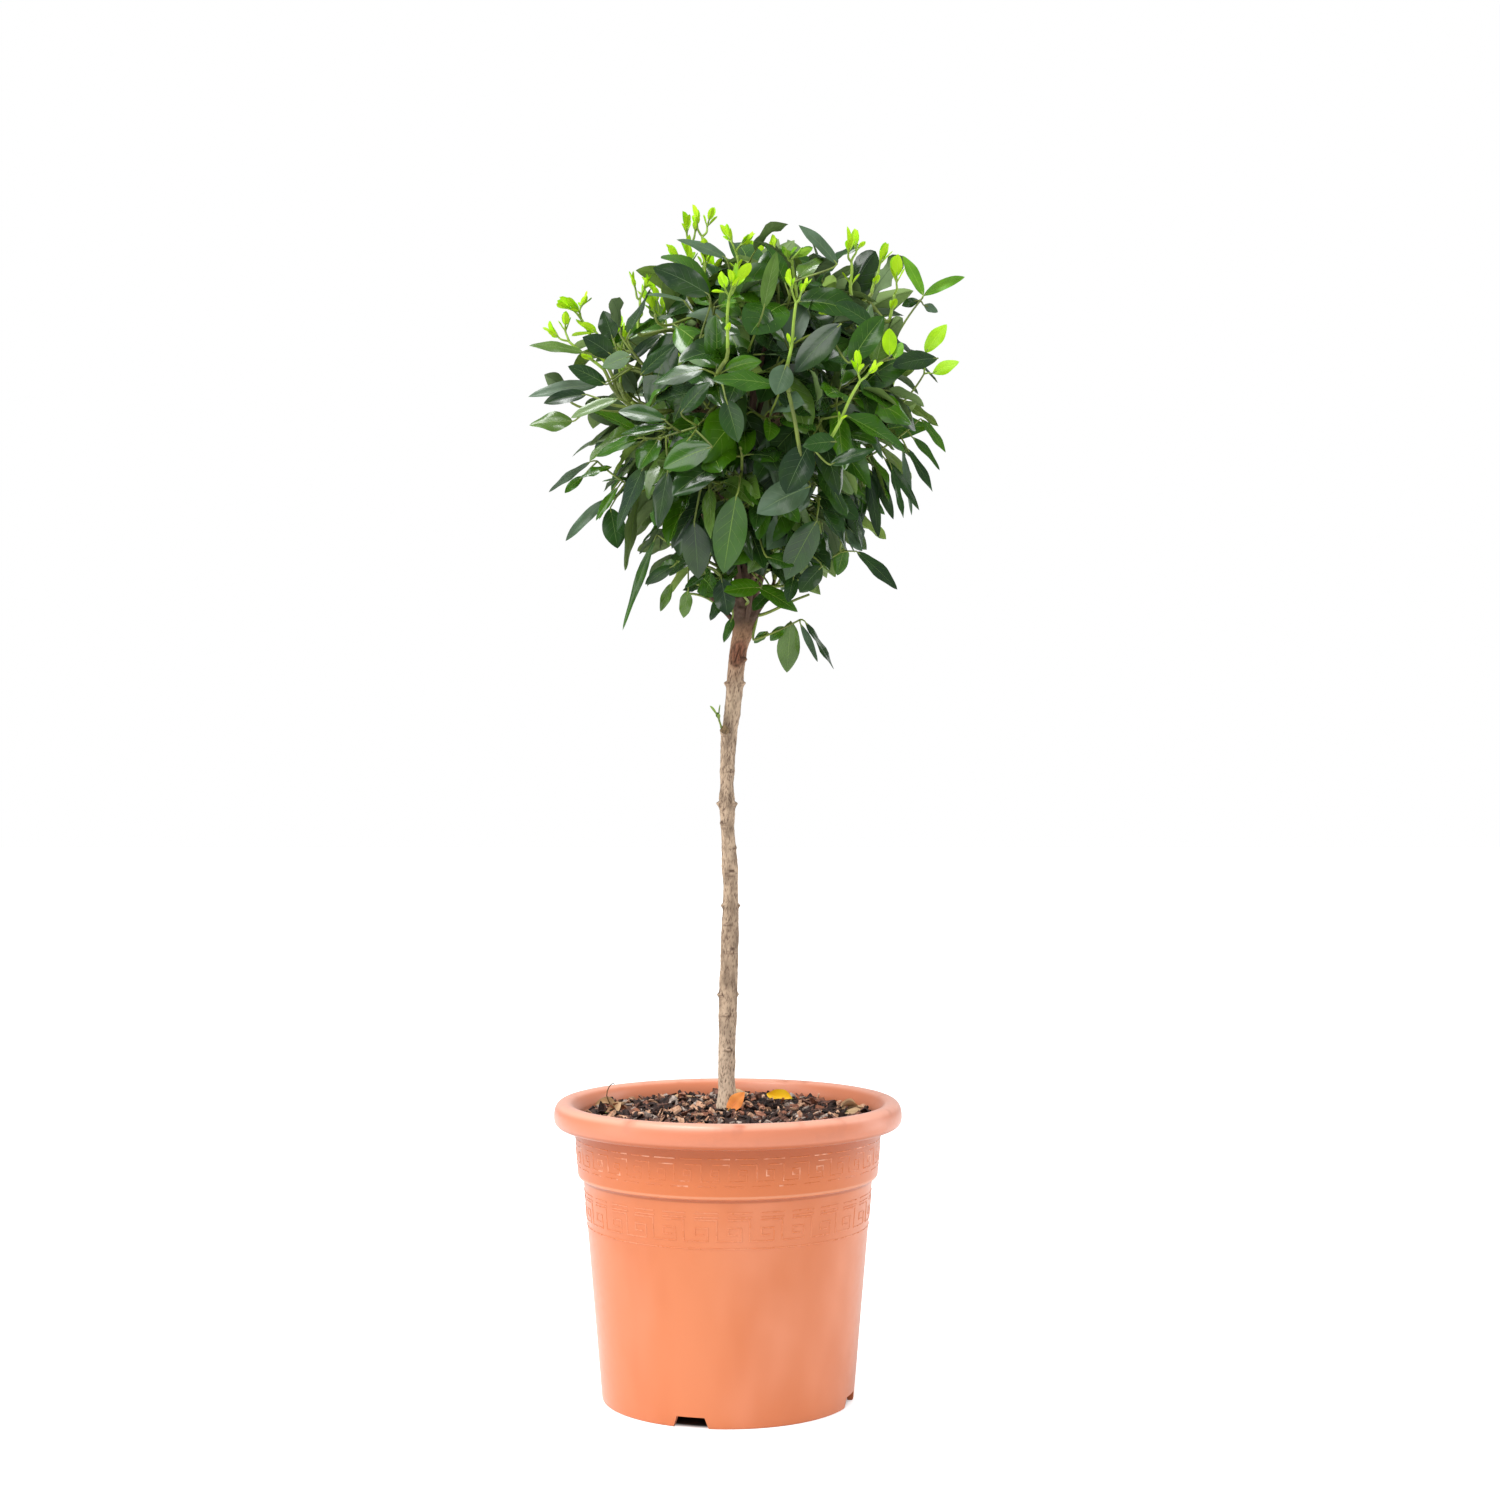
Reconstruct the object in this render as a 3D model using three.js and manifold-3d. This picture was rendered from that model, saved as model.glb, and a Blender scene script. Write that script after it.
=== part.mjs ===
// A standard ("lollipop") evergreen shrub in its pot: one clear stem, a swollen head where the boughs fork,
// and a loosely clipped ball of foliage, growing in a terracotta-coloured plastic pot filled with soil.
//
// Millimetres, +Z up. The origin is the middle of the pot's underside. The plant's front faces -Y.
// The foliage is a set of closed, uneven masses that part along planes, like the cells of a foam. They
// stand round an open shaft over the stem, and the boughs rise through it to the masses they carry.
import * as THREE from "three";
import { mergeVertices } from "three/addons/utils/BufferGeometryUtils.js";
import Module from "manifold-3d";

const wasm = await Module();
wasm.setup();

// ---------------------------------------------------------------- driving dimensions

const SEAT = 0.3; // clearance between two pieces that touch

const POT = {
  height: 256,
  rimRadius: 150,
  rimDrop: 22, // height of the rolled rim
  mouthRadius: 133, // where the rim rolls over into the mouth
  collarTop: 132.2, // outer radius just under the rim
  collarFoot: 129.4, // outer radius where the collar steps in
  collarDepth: 40, // height of the collar
  bodyTop: 124.9, // outer radius just under the collar
  bodyFoot: 108.4, // outer radius at the ground
  wall: 2.8,
  footGap: 8, // how far the floor stands off the ground
  footWidth: 5, // width of the ring that the pot stands on
  middleFoot: 24, // radius of the round foot under the middle of the floor
  segments: 36,
};
// Gaps in the foot ring, and holes in the floor. turn is the first one's direction, in degrees from +X.
const NOTCH = { count: 4, turn: -106, foot: 28, top: 21, height: 8 };
const DRAIN = { count: 4, turn: -61, radius: 6, reach: 66 };

// The soil rises a little from the wall of the pot to the stem, and is flat where the stem stands.
const SOIL = { edge: 240, middle: 246, flat: 16 };

const STEM = {
  // From the soil to the top of the head: height, how far the stem strays sideways there, and its radius.
  line: [
    [SOIL.middle + SEAT, -1, 7.4],
    [290, -1, 7],
    [420, 2, 6.8],
    [452, 2.2, 6.5],
    [490, -0.4, 6.1],
    [535, -0.8, 6.1],
    [573, 1.2, 6.7],
    [598, 4.6, 7.2],
    [628, 6.9, 6.9],
    [646, 9.4, 7.6],
    [660, 13, 9.6],
    [677, 16, 11.8],
    [692, 17, 11.2],
  ],
  flare: 1.8, // how much wider the stem is where it enters the soil
  flareHeight: 9,
  nodeSpacing: 60, // old leaf scars ring the stem at this spacing
  topNode: 573,
  nodeSwell: 1.2,
  sides: 10,
  rings: 27,
};

// The crown's outline: how far it reaches from its axis at each height, towards -X and towards +X.
const OUTLINE = [
  [652, 36, 34],
  [674, 60, 52],
  [700, 86, 76],
  [740, 104, 112],
  [770, 134, 142],
  [800, 152, 162],
  [850, 178, 174],
  [905, 172, 180],
  [935, 156, 172],
  [960, 116, 150],
  [985, 72, 124],
  [1003, 54, 94],
  [1016, 30, 56],
];
const CROWN = {
  axis: 14, // the crown's middle leans this far to +X of the pot's middle
  shaft: 30, // radius of the open shaft that the boughs rise through
  gap: 0.5, // gap between two masses that meet
  lumps: 0.05, // how far the outline swells and shrinks round the crown
  uneven: 0.17, // how uneven each mass is
  detail: 2,
};
// Rings of masses round the crown's axis. size is half of a mass's width and half of its height.
const RINGS = [
  { name: "upper", count: 5, turn: 18, height: 944, reach: 86, size: [72, 56], shaft: CROWN.shaft },
  { name: "middle", count: 7, turn: 4, height: 874, reach: 120, size: [74, 64], shaft: CROWN.shaft },
  { name: "lower", count: 5, turn: 36, height: 780, reach: 86, size: [72, 62], shaft: CROWN.shaft },
  { name: "skirt", count: 3, turn: 48, height: 704, reach: 54, size: [50, 44], shaft: 24 },
];
const TOP = { lean: 12, height: 968, size: [66, 56], floor: 930 };
// No two masses sit alike: how far one may stray from its place in its ring.
const STRAY = { turn: 6, height: 10, reach: 8, size: 0.1 };
// Sprays that stand out of the ball: the middle of each one, and half of its sizes.
const SPRAYS = [
  { name: "crest", at: [-27, -18, 995], size: [17, 15, 28] },
  { name: "left_crest", at: [-128, -14, 938], size: [24, 20, 22] },
  { name: "left_side", at: [-136, -12, 780], size: [22, 20, 38] },
  { name: "left_droop", at: [-80, -18, 706], size: [16, 16, 42] },
  { name: "right_crest", at: [172, -14, 956], size: [34, 20, 26] },
  { name: "right_side", at: [176, -20, 886], size: [28, 22, 40] },
  { name: "right_hang", at: [156, -8, 792], size: [32, 28, 44] },
  { name: "right_droop", at: [118, -22, 722], size: [30, 18, 26] },
  { name: "stem_side", at: [58, -10, 660], size: [33, 22, 33] },
  { name: "back_side", at: [-34, 166, 872], size: [34, 28, 36] },
  { name: "back_hang", at: [56, 130, 778], size: [36, 28, 42] },
];
const SPRAY_DETAIL = 1;

// Boughs: the ring that each set carries, where it leaves the wood below it (the stem's head, or the leader
// for the upper ring), its radius there and at its tip, and how far below the mass's middle it enters.
const LEADER = { radius: 4.2, tip: 2.2, startHeight: 684 };
const BOUGHS = [
  { ring: "skirt", radius: 2.3, tip: 1.8, start: 10.5, startHeight: 664, endDrop: 4 },
  { ring: "lower", radius: 2.7, tip: 2.0, start: 9.5, startHeight: 676, endDrop: 24 },
  { ring: "middle", radius: 3.2, tip: 2.2, start: 7.5, startHeight: 684, endDrop: 26 },
  { ring: "upper", radius: 2.3, tip: 1.8, start: 1.5, startHeight: 812, endDrop: 28 },
];
const BOUGH_SIDES = 6;
const BOUGH_RINGS = 3;
const BOUGH_ENTRY = 5; // how far a bough reaches into its mass

const COLOURS = {
  pot: { color: 0xe58a62, roughness: 0.5, metalness: 0 },
  soil: { color: 0x3f2f27, roughness: 0.95, metalness: 0 },
  bark: { color: 0xa58d74, roughness: 0.85, metalness: 0 },
  foliage: { color: 0x2f5a2c, roughness: 0.45, metalness: 0 },
};

// ---------------------------------------------------------------- small tools

const plant = new THREE.Group();

function addPiece(name, geometry, look) {
  const mesh = new THREE.Mesh(geometry, new THREE.MeshStandardMaterial(COLOURS[look]));
  mesh.name = name;
  plant.add(mesh);
}

function seededRandom(seed) {
  let state = seed >>> 0;
  return () => {
    state = (state + 0x6d2b79f5) >>> 0;
    let t = Math.imul(state ^ (state >>> 15), 1 | state);
    t = (t + Math.imul(t ^ (t >>> 7), 61 | t)) ^ t;
    return ((t ^ (t >>> 14)) >>> 0) / 4294967296;
  };
}

function toSolid(geometry) {
  const bare = new THREE.BufferGeometry().setAttribute("position", geometry.getAttribute("position"));
  bare.setIndex(geometry.getIndex());
  const merged = mergeVertices(bare, 1e-3);
  const corners = [];
  const index = merged.getIndex().array;
  for (let i = 0; i < index.length; i += 3) {
    const [a, b, c] = [index[i], index[i + 1], index[i + 2]];
    if (a !== b && b !== c && c !== a) corners.push(a, b, c);
  }
  return new wasm.Manifold(
    new wasm.Mesh({
      numProp: 3,
      vertProperties: new Float32Array(merged.getAttribute("position").array),
      triVerts: new Uint32Array(corners),
    }),
  );
}

function toGeometry(solid) {
  const mesh = solid.getMesh();
  return new THREE.BufferGeometry()
    .setAttribute("position", new THREE.BufferAttribute(new Float32Array(mesh.vertProperties), 3))
    .setIndex(new THREE.BufferAttribute(new Uint32Array(mesh.triVerts), 1));
}

const largestOf = (solid) => solid.decompose().sort((a, b) => b.volume() - a.volume())[0];

// A value read off a table whose rows start with a key, straight between the rows.
function readTable(table, key, column = 1) {
  const last = table[table.length - 1];
  if (key <= table[0][0]) return table[0][column];
  if (key >= last[0]) return last[column];
  const next = table.findIndex((row) => row[0] >= key);
  const [before, after] = [table[next - 1], table[next]];
  return THREE.MathUtils.mapLinear(key, before[0], after[0], before[column], after[column]);
}

// ---------------------------------------------------------------- pot and soil

// Radius of the pot's outer face at a height, on the plain body below the collar.
const bodyRadius = (z) =>
  THREE.MathUtils.mapLinear(z, 0, POT.height - POT.rimDrop - POT.collarDepth, POT.bodyFoot, POT.bodyTop);

function potProfile() {
  const rimFoot = POT.height - POT.rimDrop;
  const collarFoot = rimFoot - POT.collarDepth;
  const floorTop = POT.footGap + POT.wall;
  const innerTop = POT.collarTop - POT.wall;
  const line = new THREE.Path();
  line.moveTo(0, 0);
  line.lineTo(POT.middleFoot, 0);
  line.lineTo(POT.middleFoot + 2, POT.footGap);
  line.lineTo(POT.bodyFoot - POT.footWidth - 1, POT.footGap);
  line.lineTo(POT.bodyFoot - POT.footWidth, 0);
  line.lineTo(POT.bodyFoot - 1.5, 0);
  line.lineTo(bodyRadius(2), 2);
  line.lineTo(POT.bodyTop, collarFoot - 4);
  line.quadraticCurveTo(POT.collarFoot - 0.5, collarFoot - 3, POT.collarFoot, collarFoot);
  line.lineTo(POT.collarTop, rimFoot);
  line.lineTo(POT.rimRadius - 5, rimFoot + 0.5);
  line.quadraticCurveTo(POT.rimRadius, rimFoot + 2, POT.rimRadius, rimFoot + 9);
  line.quadraticCurveTo(POT.rimRadius, POT.height, POT.rimRadius - 9, POT.height);
  line.quadraticCurveTo(POT.mouthRadius - 1, POT.height, innerTop + 0.4, POT.height - 12);
  line.lineTo(innerTop - 0.3, rimFoot - 4);
  line.lineTo(POT.collarFoot - POT.wall, collarFoot + 2);
  line.lineTo(bodyRadius(collarFoot) - POT.wall, collarFoot - 6);
  line.lineTo(bodyRadius(floorTop) - POT.wall, floorTop);
  line.lineTo(0, floorTop);
  return line.getPoints(3);
}

function notchCutter(turnDegrees) {
  const outline = new THREE.Shape();
  outline.moveTo(-NOTCH.foot / 2, -1);
  outline.lineTo(NOTCH.foot / 2, -1);
  outline.lineTo(NOTCH.top / 2, NOTCH.height - 0.05);
  outline.lineTo(-NOTCH.top / 2, NOTCH.height - 0.05);
  const depth = POT.footWidth * 4;
  const cutter = new THREE.ExtrudeGeometry(outline, { depth, bevelEnabled: false });
  cutter.rotateX(Math.PI / 2);
  cutter.translate(0, POT.bodyFoot + depth / 2, 0);
  cutter.rotateZ(THREE.MathUtils.degToRad(turnDegrees - 90));
  return toSolid(cutter);
}

function drainCutter(turnDegrees) {
  const angle = THREE.MathUtils.degToRad(turnDegrees);
  const cutter = new THREE.CylinderGeometry(DRAIN.radius, DRAIN.radius, POT.footGap * 4, 16);
  cutter.rotateX(Math.PI / 2);
  cutter.translate(DRAIN.reach * Math.cos(angle), DRAIN.reach * Math.sin(angle), POT.footGap);
  return toSolid(cutter);
}

function buildPot() {
  const shell = new THREE.LatheGeometry(potProfile(), POT.segments).rotateX(Math.PI / 2);
  let pot = toSolid(shell);
  const turnsOf = (cut) => Array.from({ length: cut.count }, (_, i) => cut.turn + (i * 360) / cut.count);
  for (const turn of turnsOf(NOTCH)) pot = pot.subtract(notchCutter(turn));
  for (const turn of turnsOf(DRAIN)) pot = pot.subtract(drainCutter(turn));
  return pot;
}

function buildSoil() {
  const floor = POT.footGap + POT.wall + SEAT;
  const collarFoot = POT.height - POT.rimDrop - POT.collarDepth;
  const inner = POT.wall + SEAT * 2;
  const line = [
    [0, floor],
    [bodyRadius(floor) - inner, floor],
    [bodyRadius(collarFoot) - inner, collarFoot - 6],
    [POT.collarFoot - inner, collarFoot + 2],
    [POT.collarTop - inner - 0.3, SOIL.edge],
    [SOIL.flat, SOIL.middle],
    [0, SOIL.middle],
  ].map(([x, y]) => new THREE.Vector2(x, y));
  return toSolid(new THREE.LatheGeometry(line, POT.segments).rotateX(Math.PI / 2));
}

// ---------------------------------------------------------------- stem and boughs

// A closed limb: a cylinder whose rings are moved onto a curve and given their own radius. It can be made
// a little wider and longer by extra, which gives the room that must stay clear round it.
function limb(curve, radiusAt, sides, rings, extra) {
  const body = new THREE.CylinderGeometry(1, 1, 1, sides, rings);
  const place = body.getAttribute("position");
  const side = new THREE.Vector3();
  const ahead = new THREE.Vector3();
  const spot = new THREE.Vector3();
  const front = new THREE.Vector3(0, -1, 0);
  for (let i = 0; i < place.count; i++) {
    const share = THREE.MathUtils.clamp(place.getY(i) + 0.5, 0, 1);
    curve.getPoint(share, spot);
    const tangent = curve.getTangent(share);
    side.crossVectors(front, tangent).normalize();
    ahead.crossVectors(side, tangent).normalize();
    const radius = radiusAt(share) + extra;
    if (share === 0) spot.addScaledVector(tangent, -extra);
    if (share === 1) spot.addScaledVector(tangent, extra);
    spot.addScaledVector(side, place.getX(i) * radius).addScaledVector(ahead, place.getZ(i) * radius);
    place.setXYZ(i, spot.x, spot.y, spot.z);
  }
  return toSolid(body);
}

const stemFoot = STEM.line[0][0];
const stemCurve = new THREE.CatmullRomCurve3(STEM.line.map(([z, x]) => new THREE.Vector3(x, 0, z)));

function stemRadius(share) {
  const z = stemCurve.getPoint(share).z;
  const flare = STEM.flare * Math.exp(-(z - stemFoot) / STEM.flareHeight);
  const nodeStep = (STEM.topNode - z) / STEM.nodeSpacing;
  const nodeAway = nodeStep > -0.5 ? (nodeStep - Math.round(nodeStep)) * STEM.nodeSpacing : STEM.nodeSpacing;
  return readTable(STEM.line, z, 2) + flare + STEM.nodeSwell * bell(nodeAway, 5);
}

const bell = (away, width) => Math.exp(-((away / width) ** 2));

const buildStem = (extra) => limb(stemCurve, stemRadius, STEM.sides, STEM.rings, extra);

// A point on the stem's axis, or on the leader's, which rises straight from the stem's head.
const axisPoint = (z) => new THREE.Vector3(readTable(STEM.line, z), 0, z);

function boughCurve(from, to) {
  const bend = from.clone().lerp(to, 0.5);
  bend.z += from.distanceTo(to) * 0.04;
  return new THREE.QuadraticBezierCurve3(from, bend, to);
}

function boughList(cells) {
  const top = cells[0].at.clone().setZ(TOP.floor + BOUGH_ENTRY);
  const leader = { name: "bough_leader", curve: boughCurve(axisPoint(LEADER.startHeight), top), ...LEADER };
  const found = [leader];
  for (const set of BOUGHS)
    for (const cell of cells.filter((c) => c.ring && c.ring.name === set.ring)) {
      const from = axisPoint(set.startHeight).addScaledVector(cell.way, set.start);
      const to = new THREE.Vector3(CROWN.axis, 0, cell.at.z - set.endDrop);
      to.addScaledVector(cell.way, cell.ring.shaft + BOUGH_ENTRY);
      found.push({ name: cell.name.replace("foliage", "bough"), curve: boughCurve(from, to), ...set });
    }
  return found;
}

function buildBough(bough, extra) {
  const radiusAt = (share) => THREE.MathUtils.lerp(bough.radius, bough.tip, share);
  return limb(bough.curve, radiusAt, BOUGH_SIDES, BOUGH_RINGS, extra);
}

// ---------------------------------------------------------------- foliage

// One mass of a ring: its place in the ring, strayed a little in every way.
function ringCell(ring, i, stray) {
  const angle = THREE.MathUtils.degToRad(ring.turn + (i * 360) / ring.count + stray() * STRAY.turn);
  const way = new THREE.Vector3(Math.cos(angle), Math.sin(angle), 0);
  const reach = ring.reach + stray() * STRAY.reach;
  const at = new THREE.Vector3(CROWN.axis, 0, ring.height + stray() * STRAY.height);
  const grow = 1 + stray() * STRAY.size;
  return {
    name: `foliage_${ring.name}_${i + 1}`,
    ring,
    way,
    at: at.addScaledVector(way, reach),
    size: [ring.size[0] * grow, ring.size[0] * grow, ring.size[1] * grow],
    inner: { normal: way.clone().negate(), distance: reach - ring.shaft },
    detail: CROWN.detail,
  };
}

function massList() {
  const random = seededRandom(11);
  const stray = () => random() * 2 - 1;
  const top = {
    name: "foliage_top",
    at: new THREE.Vector3(CROWN.axis + TOP.lean, 0, TOP.height),
    size: [TOP.size[0], TOP.size[0], TOP.size[1]],
    inner: { normal: new THREE.Vector3(0, 0, -1), distance: TOP.height - TOP.floor },
    detail: CROWN.detail,
  };
  const found = [top];
  for (const ring of RINGS) for (let i = 0; i < ring.count; i++) found.push(ringCell(ring, i, stray));
  for (const { name, at, size } of SPRAYS)
    found.push({
      name: `foliage_spray_${name}`,
      at: new THREE.Vector3(...at),
      size,
      free: true,
      detail: SPRAY_DETAIL,
    });
  return found;
}

const meanSize = (mass) => (mass.size[0] + mass.size[1] + mass.size[2]) / 3;

// True inside the crown's outline, which swells and shrinks a little on the way round.
function insideOutline(point) {
  const x = point.x - CROWN.axis;
  const around = Math.atan2(point.y, x);
  const wave = Math.sin(3 * around + point.z / 40) * Math.cos(2 * around - point.z / 55);
  if (point.z < OUTLINE[0][0] || point.z > OUTLINE[OUTLINE.length - 1][0]) return false;
  const left = readTable(OUTLINE, point.z, 1);
  const right = readTable(OUTLINE, point.z, 2);
  const outline = THREE.MathUtils.lerp(left, right, (1 + Math.cos(around)) / 2);
  return Math.hypot(x, point.y) < outline * (1 + CROWN.lumps * wave);
}

// A smooth wobble over the directions round a mass, different for each seed, from -1 to 1.
function wobble(seed) {
  const random = seededRandom(seed);
  const waves = Array.from({ length: 5 }, () => ({
    way: new THREE.Vector3(random() - 0.5, random() - 0.5, random() - 0.5).normalize(),
    rate: 2.5 + random() * 3.5,
    start: random() * Math.PI * 2,
  }));
  const height = (wave, way) => Math.sin(wave.rate * way.dot(wave.way) + wave.start);
  return (way) => waves.reduce((sum, wave) => sum + height(wave, way), 0) / waves.length;
}

// How far a mass reaches from its middle in one direction: out to its own rounded size, or to the plane it
// shares with a neighbour, the wall of the open shaft or the crown's outline, whichever comes first.
function reachOf(mass, masses, way, wobbleOf) {
  const [a, b, c] = mass.size;
  let reach = 1 / Math.hypot(way.x / a, way.y / b, way.z / c);
  reach *= 1 + CROWN.uneven * wobbleOf(way);
  const stopAt = (normal, distance) => {
    const slope = way.dot(normal);
    if (slope > 1e-6) reach = Math.min(reach, distance / slope);
  };
  for (const other of masses) {
    if (other === mass) continue;
    const apart = other.at.clone().sub(mass.at);
    const length = apart.length();
    const share = (length ** 2 + meanSize(mass) ** 2 - meanSize(other) ** 2) / (2 * length);
    const plane = THREE.MathUtils.clamp(share, length * 0.2, length * 0.8);
    stopAt(apart.divideScalar(length), plane - CROWN.gap / 2);
  }
  if (mass.inner) stopAt(mass.inner.normal, mass.inner.distance);
  if (mass.free) return reach;
  const outside = (r) => !insideOutline(mass.at.clone().addScaledVector(way, r));
  if (!outside(reach)) return reach;
  let low = 0;
  let high = reach;
  for (let i = 0; i < 14; i++) {
    const middle = (low + high) / 2;
    if (outside(middle)) high = middle;
    else low = middle;
  }
  return low;
}

function buildMass(mass, masses, seed) {
  const ball = new THREE.IcosahedronGeometry(1, mass.detail);
  const place = ball.getAttribute("position");
  const wobbleOf = wobble(seed);
  const way = new THREE.Vector3();
  for (let i = 0; i < place.count; i++) {
    way.fromBufferAttribute(place, i).normalize();
    const spot = mass.at.clone().addScaledVector(way, reachOf(mass, masses, way, wobbleOf));
    place.setXYZ(i, spot.x, spot.y, spot.z);
  }
  return toSolid(ball);
}

// ---------------------------------------------------------------- the whole plant

addPiece("pot", toGeometry(buildPot()), "pot");
addPiece("soil", toGeometry(buildSoil()), "soil");
addPiece("trunk", toGeometry(buildStem(0)), "bark");

const masses = massList();
let woodClearance = buildStem(SEAT);
for (const bough of boughList(masses)) {
  const whole = buildBough(bough, 0).subtract(woodClearance);
  addPiece(bough.name, toGeometry(largestOf(whole)), "bark");
  woodClearance = woodClearance.add(buildBough(bough, SEAT));
}

masses.forEach((mass, i) => {
  const whole = buildMass(mass, masses, i + 1).subtract(woodClearance);
  addPiece(mass.name, toGeometry(largestOf(whole)), "foliage");
});

export default plant;
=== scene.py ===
# %% [markdown]
# # A lollipop shrub in its pot
# The object is a garden shrub grown as a "standard": one clear stem, a swollen head where the boughs
# fork, and a loosely clipped ball of evergreen leaves, in a round terracotta-coloured plastic pot.
# A CAD model already fixes where everything stands and how big it is. It could be dressed up by hand,
# but it is loaded here as a frame that nothing may move, so that the looks can change and the sizes can't.

# %% Load the fixed frame
import math

import bpy
import numpy as np
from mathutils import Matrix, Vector
from mathutils.bvhtree import BVHTree


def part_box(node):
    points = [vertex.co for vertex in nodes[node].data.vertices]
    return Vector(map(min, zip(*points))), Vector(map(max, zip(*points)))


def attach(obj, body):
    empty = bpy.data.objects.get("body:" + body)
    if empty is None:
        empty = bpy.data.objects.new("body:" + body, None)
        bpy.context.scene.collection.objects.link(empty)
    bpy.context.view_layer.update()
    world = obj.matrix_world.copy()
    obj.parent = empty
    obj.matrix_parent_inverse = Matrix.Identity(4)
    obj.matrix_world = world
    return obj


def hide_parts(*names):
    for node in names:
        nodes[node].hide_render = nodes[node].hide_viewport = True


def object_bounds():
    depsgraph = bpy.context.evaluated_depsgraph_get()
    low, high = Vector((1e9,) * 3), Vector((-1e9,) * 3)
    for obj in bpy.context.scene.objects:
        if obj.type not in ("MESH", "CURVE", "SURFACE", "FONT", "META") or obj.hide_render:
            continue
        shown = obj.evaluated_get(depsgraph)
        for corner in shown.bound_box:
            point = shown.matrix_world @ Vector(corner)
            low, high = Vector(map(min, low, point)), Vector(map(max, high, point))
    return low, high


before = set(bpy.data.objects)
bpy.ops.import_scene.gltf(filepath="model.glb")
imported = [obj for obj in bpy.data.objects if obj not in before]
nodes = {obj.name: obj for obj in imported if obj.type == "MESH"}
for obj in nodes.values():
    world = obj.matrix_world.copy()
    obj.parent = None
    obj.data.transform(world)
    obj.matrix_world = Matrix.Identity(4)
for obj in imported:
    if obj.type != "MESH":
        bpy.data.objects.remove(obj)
cad_low, cad_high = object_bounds()
MM = 0.001
print("frame: %d nodes, %.3f m tall" % (len(nodes), cad_high.z - cad_low.z))

# %% [markdown]
# ## Camera, floor and light
# The plant is looked at from the height of its stem, from about two metres away, with a slightly long
# lens. The room is a white studio: the floor runs out to the horizon and glows as white as the wall.
# A curved backdrop would do the same, but a large plane and a white world give no seam and no corner.

# %% Camera
EYE = (0.019, -2.16, 0.558)
LENS = 60
SENSOR = 36

camera_data = bpy.data.cameras.new("studio_camera")
camera_data.lens = LENS
camera_data.sensor_width = SENSOR
camera = bpy.data.objects.new("studio_camera", camera_data)
camera.location = EYE
camera.rotation_euler = (math.pi / 2, 0, 0)
bpy.context.scene.collection.objects.link(camera)
bpy.context.scene.camera = camera
bpy.context.scene.view_settings.view_transform = "Standard"

# %% [markdown]
# The light falls from a broad window above and to the front left, and the white room fills the shadows.
# A bare lamp would burn hard edges into the shiny leaves, so the window is a sun with a very wide disc,
# which also lights the floor evenly out to the horizon. Two tall panels at the sides put the long soft
# reflections on the pot's edges, and a skylight overhead glints on the leaves. The wall is a little
# brighter to the camera than it is to the plant, and cooler and dimmer in what the waxy leaves mirror.

# %% Light
WALL_GLOW = 1.0  # how bright the wall looks
ROOM_GLOW = 0.78  # how much light the room gives from every side
MIRROR_GLOW = 0.27  # how bright the room looks in a glossy surface
SUN_WAY = (0.50, 0.62, -1.0)
SUN_STRENGTH = 1.62
SUN_SPREAD = 48  # degrees: a window, not a point


def white_world():
    world = bpy.data.worlds.new("white_studio")
    world.use_nodes = True
    tree = world.node_tree
    room = tree.nodes["Background"]
    room.inputs["Strength"].default_value = ROOM_GLOW
    room.inputs["Color"].default_value = (0.97, 0.985, 1.0, 1)
    rays = tree.nodes.new("ShaderNodeLightPath")
    views = (("Is Glossy Ray", (0.84, 0.93, 1.0, 1), MIRROR_GLOW), ("Is Camera Ray", (1, 1, 1, 1), WALL_GLOW))
    last = room
    for ray, colour, strength in views:
        view = tree.nodes.new("ShaderNodeBackground")
        view.inputs["Color"].default_value = colour
        view.inputs["Strength"].default_value = strength
        mix = tree.nodes.new("ShaderNodeMixShader")
        tree.links.new(rays.outputs[ray], mix.inputs["Fac"])
        tree.links.new(last.outputs[0], mix.inputs[1])
        tree.links.new(view.outputs["Background"], mix.inputs[2])
        last = mix
    tree.links.new(last.outputs[0], tree.nodes["World Output"].inputs["Surface"])
    bpy.context.scene.world = world


def add_lamp(name, lamp, way, place=(0, 0, 3)):
    panel = bpy.data.objects.new(name, lamp)
    panel.location = place
    panel.rotation_euler = Vector(way).to_track_quat("-Z", "Y").to_euler()
    bpy.context.scene.collection.objects.link(panel)


def window_light():
    sun = bpy.data.lights.new("window_light", "SUN")
    sun.energy = SUN_STRENGTH
    sun.angle = math.radians(SUN_SPREAD)
    add_lamp("window_light", sun, SUN_WAY)


def side_panel(name, place, aim, size, power):
    lamp = bpy.data.lights.new(name, "AREA")
    lamp.shape = "RECTANGLE"
    lamp.size, lamp.size_y = size
    lamp.energy = power
    add_lamp(name, lamp, Vector(aim) - Vector(place), place)


white_world()
window_light()
side_panel("panel_left", (-1.9, -0.6, 0.8), (0, 0, 0.5), (0.8, 1.8), 9)
side_panel("panel_right", (1.8, 0.6, 0.8), (0, 0, 0.50), (0.7, 1.8), 12)
side_panel("skylight", (-0.6, -0.2, 2.5), (0, 0, 0.85), (1.1, 0.5), 20)

# %% [markdown]
# ## Meshes from arrays
# Most of this plant is thousands of small, similar things. Adding them as separate objects would be slow
# and would not survive an export, so points and faces are worked out as arrays and poured into one mesh.

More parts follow.
